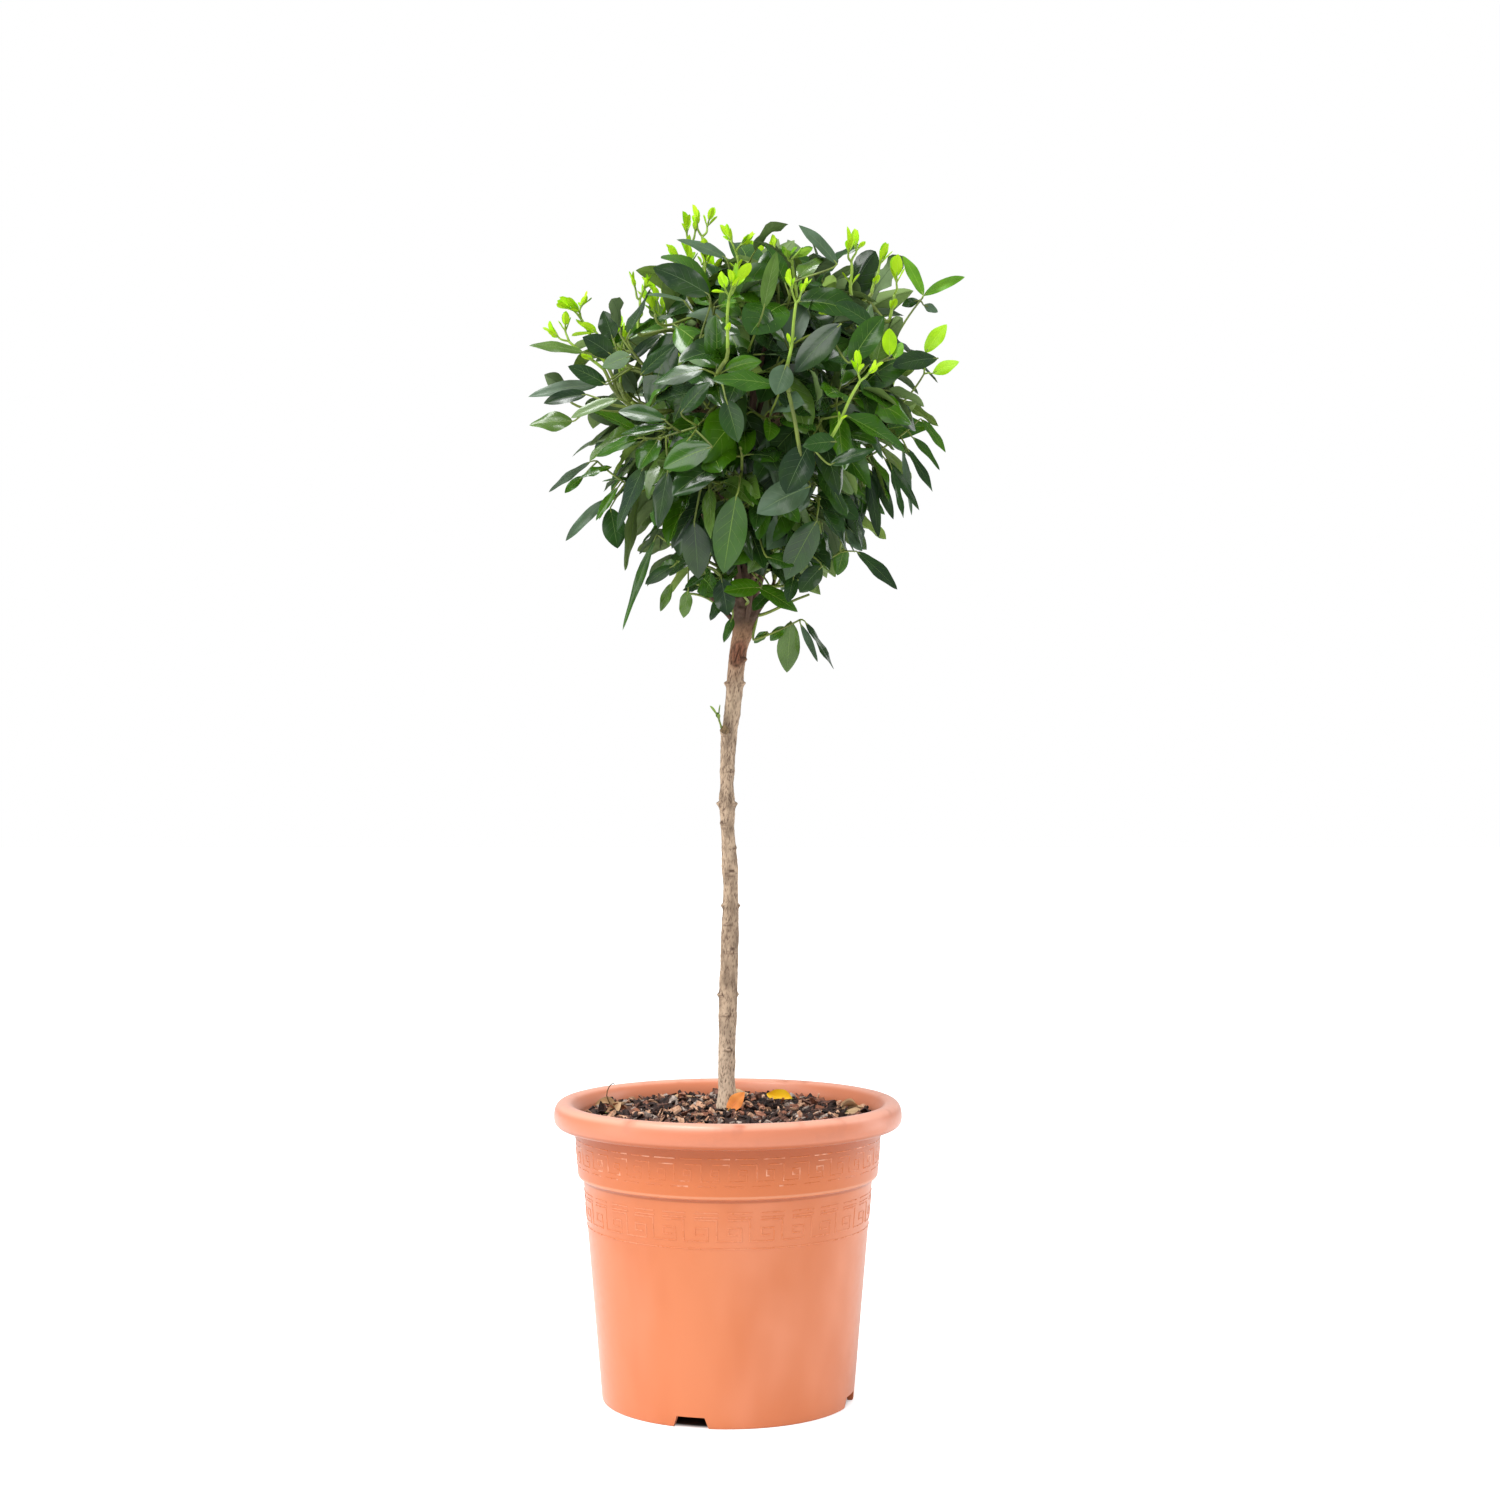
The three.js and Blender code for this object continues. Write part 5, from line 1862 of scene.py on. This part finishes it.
def crown_candles():
    count = 0
    for shoot in shoots:
        spot = shoot["skin"]
        front = spot[1] < -0.06
        chance = np.interp(spot[2], *CANDLE_CHANCES)
        chance *= 0.35 if front else 1.0
        if random.random() > chance:
            continue
        root, way = at_arc(shoot["path"], 0.001)
        tall = random.uniform(0.012, 0.038)
        size = random.uniform(0.014, 0.022)
        many = random.choice([1, 2, 3], p=[0.45, 0.25, 0.30])
        candle(root, way, tall, size)
        for k in range(many - 1):
            lean = unit(way + side_way(way, random.uniform(0, math.pi) + math.pi * k) * 0.55)
            candle(root, lean, tall * random.uniform(0.6, 0.9), size * random.uniform(0.7, 0.95))
        count += many
    return count


print("candles: %d" % crown_candles())

# %% [markdown]
# The tall young stems that rise in front of the crown, the lime tufts of the crest and the cluster at the
# left are named too, because they make the outline. Each is a foot, an end, the size of its leaves and
# how many candles it carries.

# %% Tall young stems
TALL_STEMS = [  # corners of the stem up to its end, in millimetres, leaf size, candles, tone
    ([(0, -150, 872), (1, -158, 880), (2, -160, 918)], 18, 3, "lime"),
    ([(64, -112, 792), (60, -134, 796), (50, -148, 846), (49, -150, 868), (56, -148, 918)], 15, 2, "lime"),
    ([(80, -122, 804), (84, -138, 810), (106, -150, 852)], 13, 2, "lime"),
    ([(-30, -24, 968), (-32, -20, 992)], 13, 2, "lime"),
    ([(-34, -28, 948), (-36, -28, 964)], 17, 2, "lime"),
    ([(-22, -24, 962), (-22, -18, 998)], 14, 2, "lime"),
    ([(8, -44, 958), (8, -42, 977)], 16, 2, "lime"),
    ([(42, -46, 958), (40, -44, 974)], 13, 1, "lime"),
    ([(58, -90, 930), (54, -94, 958)], 14, 2, "young"),
    ([(104, -60, 940), (104, -62, 968)], 17, 2, "lime"),
    ([(122, -40, 945), (128, -40, 964)], 17, 1, "lime"),
    ([(138, -30, 925), (142, -30, 946)], 19, 1, "lime"),
    ([(-94, -20, 862), (-106, -18, 884), (-136, -16, 908)], 16, 2, "lime"),
    ([(-94, -20, 862), (-104, -18, 888), (-126, -14, 928)], 16, 3, "lime"),
    ([(-92, -22, 866), (-100, -20, 880), (-111, -18, 908)], 18, 1, "lime"),
    ([(-90, -24, 862), (-92, -22, 872), (-93, -20, 899)], 18, 2, "lime"),
    ([(-76, -30, 915), (-75, -28, 942)], 13, 2, "lime"),
]


def tall_stem(corners, size, count, tone):
    corners = [np.array(corner) * MM for corner in corners]
    bend, end = corners[-2], corners[-1]
    rise = unit(end - bend)
    root, run = nearest_wood(corners[0])
    foot = soft_line(root, run * 0.7, corners[0], unit(corners[1] - corners[0]) * 0.8, 8, 0.001)
    twigs.append((foot, 1.9 * MM, 1.7 * MM, "stalk"))
    for low, high in zip(corners[:-2], corners[1:-1]):
        way = unit(high - low)
        part = soft_line(low, way, high, unit(way + rise * 0.5), 8, 0.0008)
        twigs.append((part, 1.7 * MM, 1.5 * MM, "stalk"))
        clear_before(low, high, 0.004)
    young_stems.append((soft_line(bend, rise, end, rise, 8, 0.0008), 1.5 * MM, 1.2 * MM))
    clear_before(bend, end + UP * 0.012, 0.005)
    small_pair(bend + (end - bend) * 0.3, rise, random.uniform(0, math.pi), size * 0.6 * MM, 0.6, tone)
    for k in range(count):
        lean = side_way(rise, 0.4 + math.pi * k / max(count - 1, 1) + random.normal(0, 0.2))
        way = unit(rise + lean * (0.0 if count == 1 else 0.6))
        candle(end, way, random.uniform(0.007, 0.014), size * MM * random.uniform(0.9, 1.05), tone, 0.35)


for row in TALL_STEMS:
    tall_stem(*row)

# %% [markdown]
# ## Loose sprays
# Round the ball a few sprays hang clear of it, and each was a solid of its own in the frame. Their leaves
# are narrow and hang from a thin twig, so each spray gets a twig from the nearest wood, and its leaves are
# set one by one from foot to tip.

# %% Hang the sprays
SPRAYS = {  # depth of the spray, corners of its twig, and its leaves: foot, tip, width, tone
    "right_hang": (-8, [(112, 806), (140, 820), (160, 838)], [
        ((166, 843), (186, 814), 9, "fresh"), ((158, 828), (181, 799), 10, "mid"),
        ((154, 818), (175, 781), 10, "dark"), ((140, 803), (150, 758), 9, "dark"),
        ((124, 803), (141, 757), 11, "deep"), ((121, 799), (129, 742), 13, "deep"),
        ((117, 779), (114, 752), 9, "dark"), ((102, 790), (134, 761), 12, "fresh"),
        ((134, 810), (163, 765), 9, "dark"), ((150, 818), (158, 762), 8, "grey"),
        ((108, 786), (106, 748), 13, "deep")]),
    "right_droop": (-22, [(60, 706), (78, 716), (96, 727)], [
        ((100, 731), (94, 708), 14, "fresh"), ((110, 728), (144, 696), 16, "dark"),
        ((98, 747), (114, 728), 11, "grey")]),
    "stem_side": (-10, [(24, 653), (41, 659), (62, 670)], [
        ((54, 669), (51, 626), 22, "pale"), ((62, 667), (76, 634), 7, "grey"),
        ((66, 669), (90, 628), 9, "deep"), ((49, 664), (37, 652), 10, "fresh"),
        ((34, 660), (23, 650), 8, "fresh")]),
    "left_side": (-12, [(-78, 782), (-98, 792), (-112, 806)], [
        ((-118, 806), (-153, 780), 9, "grey"), ((-100, 801), (-126, 791), 9, "fresh"),
        ((-124, 793), (-139, 778), 8, "fresh"), ((-104, 774), (-138, 738), 11, "grey"),
        ((-94, 784), (-112, 755), 9, "fresh"), ((-101, 766), (-95, 732), 22, "dark")]),
    "left_droop": (-18, [(-34, 722), (-48, 734), (-60, 742)], [
        ((-62, 740), (-88, 662), 10, "mid"), ((-48, 701), (-57, 677), 11, "pale"),
        ((-34, 695), (-38, 672), 13, "pale"), ((-41, 714), (-58, 715), 16, "fresh"),
        ((-46, 716), (-70, 700), 12, "dark")]),
    "right_side": (-20, [(140, 846), (158, 862), (168, 880)], [
        ((169, 898), (187, 922), 15, "lime"), ((175, 880), (197, 889), 14, "lime")]),
    "right_crest": (-14, [(142, 908), (152, 928), (167, 946)], [
        ((168, 948), (151, 982), 11, "young"), ((168, 948), (203, 965), 11, "young"),
        ((164, 944), (150, 940), 9, "dark"), ((168, 940), (180, 934), 8, "grey")]),
}


def hang_spray(depth, corners, rows):
    stem = np.array([(x, depth, z) for x, z in corners]) * MM
    root, run = nearest_wood(stem[0])
    lead = soft_line(root, run * 0.6, stem[0], unit(stem[1] - stem[0]), 8, 0.001)
    bend = soft_line(stem[0], unit(stem[1] - stem[0]), stem[2], unit(stem[2] - stem[1]), 16)
    twigs.append((np.vstack([lead, bend[1::2]]), 1.3 * MM, 0.8 * MM, "stalk"))
    for foot, tip, wide, tone in rows:
        spread = random.uniform(-4, 4)
        foot = (foot[0], depth + spread * 0.5, foot[1])
        tip = (tip[0], depth + spread * 2.0, tip[1])
        away = np.linalg.norm(bend - np.array(foot) * MM, axis=1)
        face = np.array([0.0, -1.0, 0.25]) + random.normal(0, 0.35, 3)
        if wide < 12:
            shape = {"sag": 0.35, "fold": random.uniform(0.2, 0.6), "ripple": 0.30}
        else:
            shape = {"sag": 0.2, "fold": 0.25, "ripple": 0.12}
        set_leaf(foot, tip, wide, tone, bend[int(away.argmin())], face, low=0.8, high=0.85, **shape)


for depth, corners, rows in SPRAYS.values():
    hang_spray(depth, corners, rows)

# %% [markdown]
# The two sprays behind the crown are ordinary leafy shoots that reach a little further out.

# %% Sprays at the back
def back_spray(name, ends):
    low, high = (np.array(corner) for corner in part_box(name))
    middle = (low + high) / 2
    for x, y, z in ends:
        end = middle + (high - low) / 2 * np.array([x, y, z])
        root, run = nearest_wood(middle - level_out(middle) * 0.03)
        way = unit(end - root)
        path = soft_line(root, run * 0.6, end, way, 16, 0.002)
        twigs.append((path, 1.5 * MM, 1.0 * MM, "stalk"))
        dress({"path": path}, 3, size=0.9, free=True)


back_spray("foliage_spray_back_side", [(-0.3, 0.2, 0.2), (0.4, 0.0, -0.1), (0.0, 0.3, -0.4)])
back_spray("foliage_spray_back_hang", [(-0.3, 0.1, 0.1), (0.4, 0.2, 0.0), (0.0, 0.3, -0.3)])
print("leaves in all: %d" % len(leaves))

# %% [markdown]
# ## The pruned stub
# High on the bare stem a side branch was cut off. Its stub stands out in front, brown and knobby, and a
# green sprout has come from its rim.

# %% Stub and sprout
STUB_HEIGHT, STUB_WAY = 0.5725, unit([-0.42, -0.86, 0.28])
stub_root = axis_at(STUB_HEIGHT)
stub_path = soft_line(stub_root, STUB_WAY, stub_root + STUB_WAY * 0.0120, STUB_WAY, 8)
twigs.append((stub_path, 4.4 * MM, 3.1 * MM, None))
for knob in range(6):
    way = unit(STUB_WAY + (0.9 + 0.3 * (knob % 2)) * side_way(STUB_WAY, knob * 1.15))
    foot = stub_path[-1] - STUB_WAY * (0.0015 + 0.0012 * (knob % 3))
    twigs.append((soft_line(foot, way, foot + way * 0.0038, way, 8), 2.2 * MM, 1.5 * MM, None))
sprout_root = stub_path[-1] + np.array([-0.002, 0.0, 0.001])
sprout = soft_line(sprout_root, UP, sprout_root + np.array([-0.0025, 0.0, 0.010]), UP, 8)
twigs.append((sprout, 0.9 * MM, 0.7 * MM, "stalk"))
small_pair(sprout[-1], unit([-0.2, -0.1, 1.0]), 0.3, 0.009, 0.35, "fresh")
small_pair(sprout[4], unit([-0.2, -0.1, 1.0]), 1.8, 0.006, 0.50, "fresh")

# %% [markdown]
# ## Fallen leaves
# A few old leaves lie on the mulch: a yellow one behind the stem, an orange one that leans on its foot,
# and dry curled ones at both sides. They are the same leaf with other numbers: bent more, folded more,
# and without gloss.

# %% Drop the old leaves
FALLEN = [  # foot and tip (x, y, height over the bed) in millimetres, width, tone, sag
    ((57, 62, 4.5), (34, 68, 8.0), 15, "yellow", -0.7),
    ((0, -13, 1.0), (14, -16, 19.0), 14, "orange", 0.2),
    ((-104, 14, 3.0), (-86, 8, 5.0), 8, "rust", 0.9),
    ((-98, 22, 4.0), (-116, 16, 10.0), 9, "dry", 1.0),
    ((-100, 14, 6.0), (-96, 0, 3.0), 10, "dry", 1.2),
    ((-106, 10, 2.0), (-90, 16, 12.0), 8, "dry", -0.9),
    ((-92, 4, 1.5), (-76, -4, 4.0), 12, "rust", 0.3),
    ((96, 22, 2.0), (118, 16, 7.0), 12, "dry", -0.8),
    ((112, 24, 3.0), (98, 12, 8.0), 9, "dry", 0.9),
    ((100, 8, 3.0), (120, 0, 3.5), 10, "dry", 0.4),
    ((-52, 62, 2.0), (-30, 66, 4.0), 9, "dry", 0.5),
    ((66, 30, 2.0), (84, 22, 5.0), 10, "rust", -0.4),
    ((-30, -84, 2.0), (-12, -90, 4.0), 9, "rust", 0.5),
    ((20, 96, 2.0), (-4, 100, 5.0), 11, "dry", 0.6),
]


def on_bed(x, y, over):
    return np.array([x, y, soil_height(np.array([float(x)]), np.array([float(y)]))[0] + over])


for foot, tip, wide, tone, sag in FALLEN:
    way = unit([-0.3, -0.9, 0.5]) if tone == "orange" else np.array([0.0, -0.55, 0.85])
    bent = abs(sag) > 0.6
    set_leaf(
        on_bed(*foot), on_bed(*tip), wide, tone, on_bed(*foot) * MM, way, sag=sag, fold=0.75 if bent else 0.3,
        roll_under=-0.35 if bent else 0.2, twist=random.normal(0, 0.5), ripple=0.14,
    )
curl = np.array([(-103, 18, 250), (-106, 18, 256), (-105, 17, 263), (-101, 17, 268), (-99, 17, 267)]) * MM
twigs.append((curl, 0.6 * MM, 0.35 * MM, None))

# %% [markdown]
# ## Leaf finishes
# Each tone is its own plain colour, so it stays in place in any program. The waxy skin is what makes the
# leaf look alive: its roughness drifts, and a fine relief breaks the reflections of the windows. The back
# is paler and duller, and the rib is a yellowish green.

# %% Mix the leaf finishes
LEAF_COLOURS = {  # face, its second tone, back, rib
    "deep": (srgb(32, 54, 30), srgb(42, 68, 26), srgb(106, 128, 86), srgb(84, 108, 68)),
    "dark": (srgb(40, 75, 22), srgb(36, 62, 28), srgb(112, 136, 82), srgb(96, 124, 62)),
    "mid": (srgb(51, 92, 14), srgb(42, 77, 20), srgb(118, 144, 78), srgb(112, 144, 60)),
    "fresh": (srgb(66, 112, 10), srgb(55, 98, 14), srgb(126, 154, 70), srgb(134, 166, 64)),
    "grey": (srgb(80, 106, 78), srgb(68, 92, 62), srgb(118, 140, 106), srgb(118, 140, 98)),
    "pale": (srgb(88, 120, 46), srgb(77, 107, 40), srgb(124, 146, 92), srgb(130, 156, 88)),
    "young": (srgb(112, 168, 26), srgb(96, 152, 30), srgb(144, 188, 56), srgb(156, 198, 70)),
    "lime": (srgb(166, 218, 2), srgb(148, 202, 6), srgb(176, 222, 24), srgb(190, 230, 50)),
    "yellow": (srgb(250, 214, 30), srgb(240, 190, 40), srgb(244, 206, 60), srgb(236, 190, 70)),
    "orange": (srgb(238, 148, 66), srgb(220, 120, 54), srgb(240, 176, 110), srgb(226, 150, 90)),
    "rust": (srgb(176, 112, 74), srgb(140, 84, 58), srgb(190, 138, 104), srgb(196, 146, 108)),
    "dry": (srgb(206, 172, 130), srgb(166, 130, 94), srgb(196, 168, 134), srgb(176, 142, 106)),
}
LEAF_SHINE = {"lime": (0.40, 0.6), "young": (0.34, 0.5), "grey": (0.26, 0.45)}  # low and high roughness
GREEN_SHINE, DRY_SHINE = (0.10, 0.32), (0.6, 0.85)
SOFT_TONES = ("young", "lime")  # leaves of this spring, without side veins or gloss


def blend(first, second, share):
    return tuple(a * (1 - share) + b * share for a, b in zip(first, second))


def leaf_finishes(tone):
    face, second, back, rib = LEAF_COLOURS[tone]
    shine = LEAF_SHINE.get(tone, DRY_SHINE if tone in OLD_TONES else GREEN_SHINE)
    face_bump, back_bump, face_gloss = (0.05, 0.05, 0.25) if tone in SOFT_TONES else (0.22, 0.3, 0.55)
    rows = (  # part, colour, second tone and its patches, relief, bump, gloss
        ("face", face, second, (34.0, 0.40, 0.62), (130.0, 0.9, *shine), (face_bump, 0.6), face_gloss),
        ("back", back, None, (), (700.0, 0.8, 0.5, 0.7), (back_bump, 0.3), 0.2),
        ("rib", rib, None, (), (900.0, 0.5, 0.4, 0.6), (0.1, 0.2), 0.3),
        ("vein", blend(face, rib, 0.35), None, (), (900.0, 0.5, 0.3, 0.5), (0.1, 0.2), 0.45),
    )
    looks = []
    for part, *given, gloss in rows:
        look = finish("leaf_%s_%s" % (part, tone), *given)
        look.node_tree.nodes["Principled BSDF"].inputs["Specular IOR Level"].default_value = gloss
        looks.append(look)
    return looks


# %% Build the leaves by tone
def keep_in_box(rows, margin=0.016):
    """Leaves out anything that would grow past the frame's own box."""
    grid, _ = bend_blades(rows)
    low, high = grid.min((1, 2)), grid.max((1, 2))
    fits = ((low > np.array(cad_low) - margin) & (high < np.array(cad_high) + margin)).all(1)
    return [row for row, ok in zip(rows, fits) if ok]


for tone in TONES + OLD_TONES:
    looks = leaf_finishes(tone)
    stands_for = ["soil"] if tone in OLD_TONES else masses + sprays
    large = PLAIN_LEAF if tone in SOFT_TONES else GROWN_LEAF
    for label, small, template in (("leaves_", False, large), ("small_leaves_", True, SMALL_LEAF)):
        mine = [leaf for leaf in leaves if leaf["tone"] == tone and bool(leaf.get("small")) == small]
        if mine:
            kept = keep_in_box(mine)
            print(label + tone, len(mine), "leaves,", len(mine) - len(kept), "left out")
            settle(leaf_mesh(label + tone, kept, template), looks, stands_for)

# %% [markdown]
# ## Wood of the crown
# Inner twigs are brown, leafy ones are green, and the candles' stems are yellow-green. They are the same
# tubes as before, joined by colour.

# %% Build twigs and stalks
def resample(path, steps):
    share = np.linspace(0, 1, len(path))
    wanted = np.linspace(0, 1, steps)
    return np.stack([np.interp(wanted, share, path[:, i]) for i in range(3)], 1)


def twig_piece(name, items, steps, around, rough, look, stands_for):
    paths = np.array([resample(path, steps) for path, _, _ in items])
    radii = np.array([np.linspace(a, b, steps) for _, a, b in items])
    settle(wood_mesh(name, paths, radii, around, rough), [look], stands_for)


twig_brown = finish(
    "twig_brown", srgb(128, 104, 72), srgb(98, 78, 52), (160.0,), (1500.0, 1.0, 0.65, 0.9), (0.5, 0.3))
twig_green = finish(
    "twig_green", srgb(122, 140, 54), srgb(102, 116, 50), (60.0,), (1500.0, 0.6, 0.4, 0.6), (0.2, 0.2))
stem_lime = finish(
    "young_stem_lime", srgb(150, 182, 62), srgb(128, 158, 50), (60.0,), (1500.0, 0.6, 0.4, 0.6), (0.2, 0.2))

twig_piece("twigs_brown", [t[:3] for t in twigs if t[3] is None], 8, 9, 0.08, twig_brown, masses)
twig_piece("twigs_green", [t[:3] for t in twigs if t[3] is not None], 16, 8, 0.04, twig_green, masses)
twig_piece("stems_young", young_stems, 8, 7, 0.03, stem_lime, masses)
for name, young, look in (("leaf_stalks", False, twig_green), ("young_stalks", True, stem_lime)):
    paths = [
        (np.array(corners[:4]), corners[4] * 1.1, corners[4] * 0.7)
        for leaf, corners in zip(leaves, stalks) if (leaf["tone"] in SOFT_TONES) == young
    ]
    twig_piece(name, paths, 4, 5, 0.0, look, masses)

# %% [markdown]
# ## The floor
# The floor isn't part of the object, so it is only staged.

# %% Floor
UNDER_POT = 0.096  # painted shade: the floor is painted dark and doesn't glow under the pot, out to here
FLOOR_PAINT, SHADE_UNDER_POT = srgb(246, 246, 246), srgb(70, 66, 64)


def floor_finish(glow):
    """Pale paint that the camera sees a little brighter than it is lit, except under the pot, where the floor
    is painted dark as painted shadow.
    """
    material = finish("studio_floor", FLOOR_PAINT, relief=(40.0, 0.5, 0.8, 0.9), bump=(0.02, 0.1))
    tree = material.node_tree
    shader = tree.nodes["Principled BSDF"]
    shader.inputs["Emission Color"].default_value = (1, 1, 1, 1)
    seen = tree.nodes.new("ShaderNodeLightPath").outputs["Is Camera Ray"]
    open_floor = reach_mask(tree, UNDER_POT, UNDER_POT + 0.012)
    glowing = math_node(tree, "MULTIPLY", seen, open_floor)
    tree.links.new(math_node(tree, "MULTIPLY", glowing, glow), shader.inputs["Emission Strength"])
    # painted shadow: the floor's paint turns dark under the pot
    colour = mix_colour(tree, open_floor, SHADE_UNDER_POT, FLOOR_PAINT)
    tree.links.new(colour, shader.inputs["Base Color"])
    return material


def floor_plane(half=12.0):
    mesh = bpy.data.meshes.new("studio_floor")
    corners = [(-half, -half, 0), (half, -half, 0), (half, half, 0), (-half, half, 0)]
    mesh.from_pydata(corners, [], [(0, 1, 2, 3)])
    floor = bpy.data.objects.new("studio_floor", mesh)
    mesh.materials.append(floor_finish(0.5))
    bpy.context.scene.collection.objects.link(floor)


floor_plane()
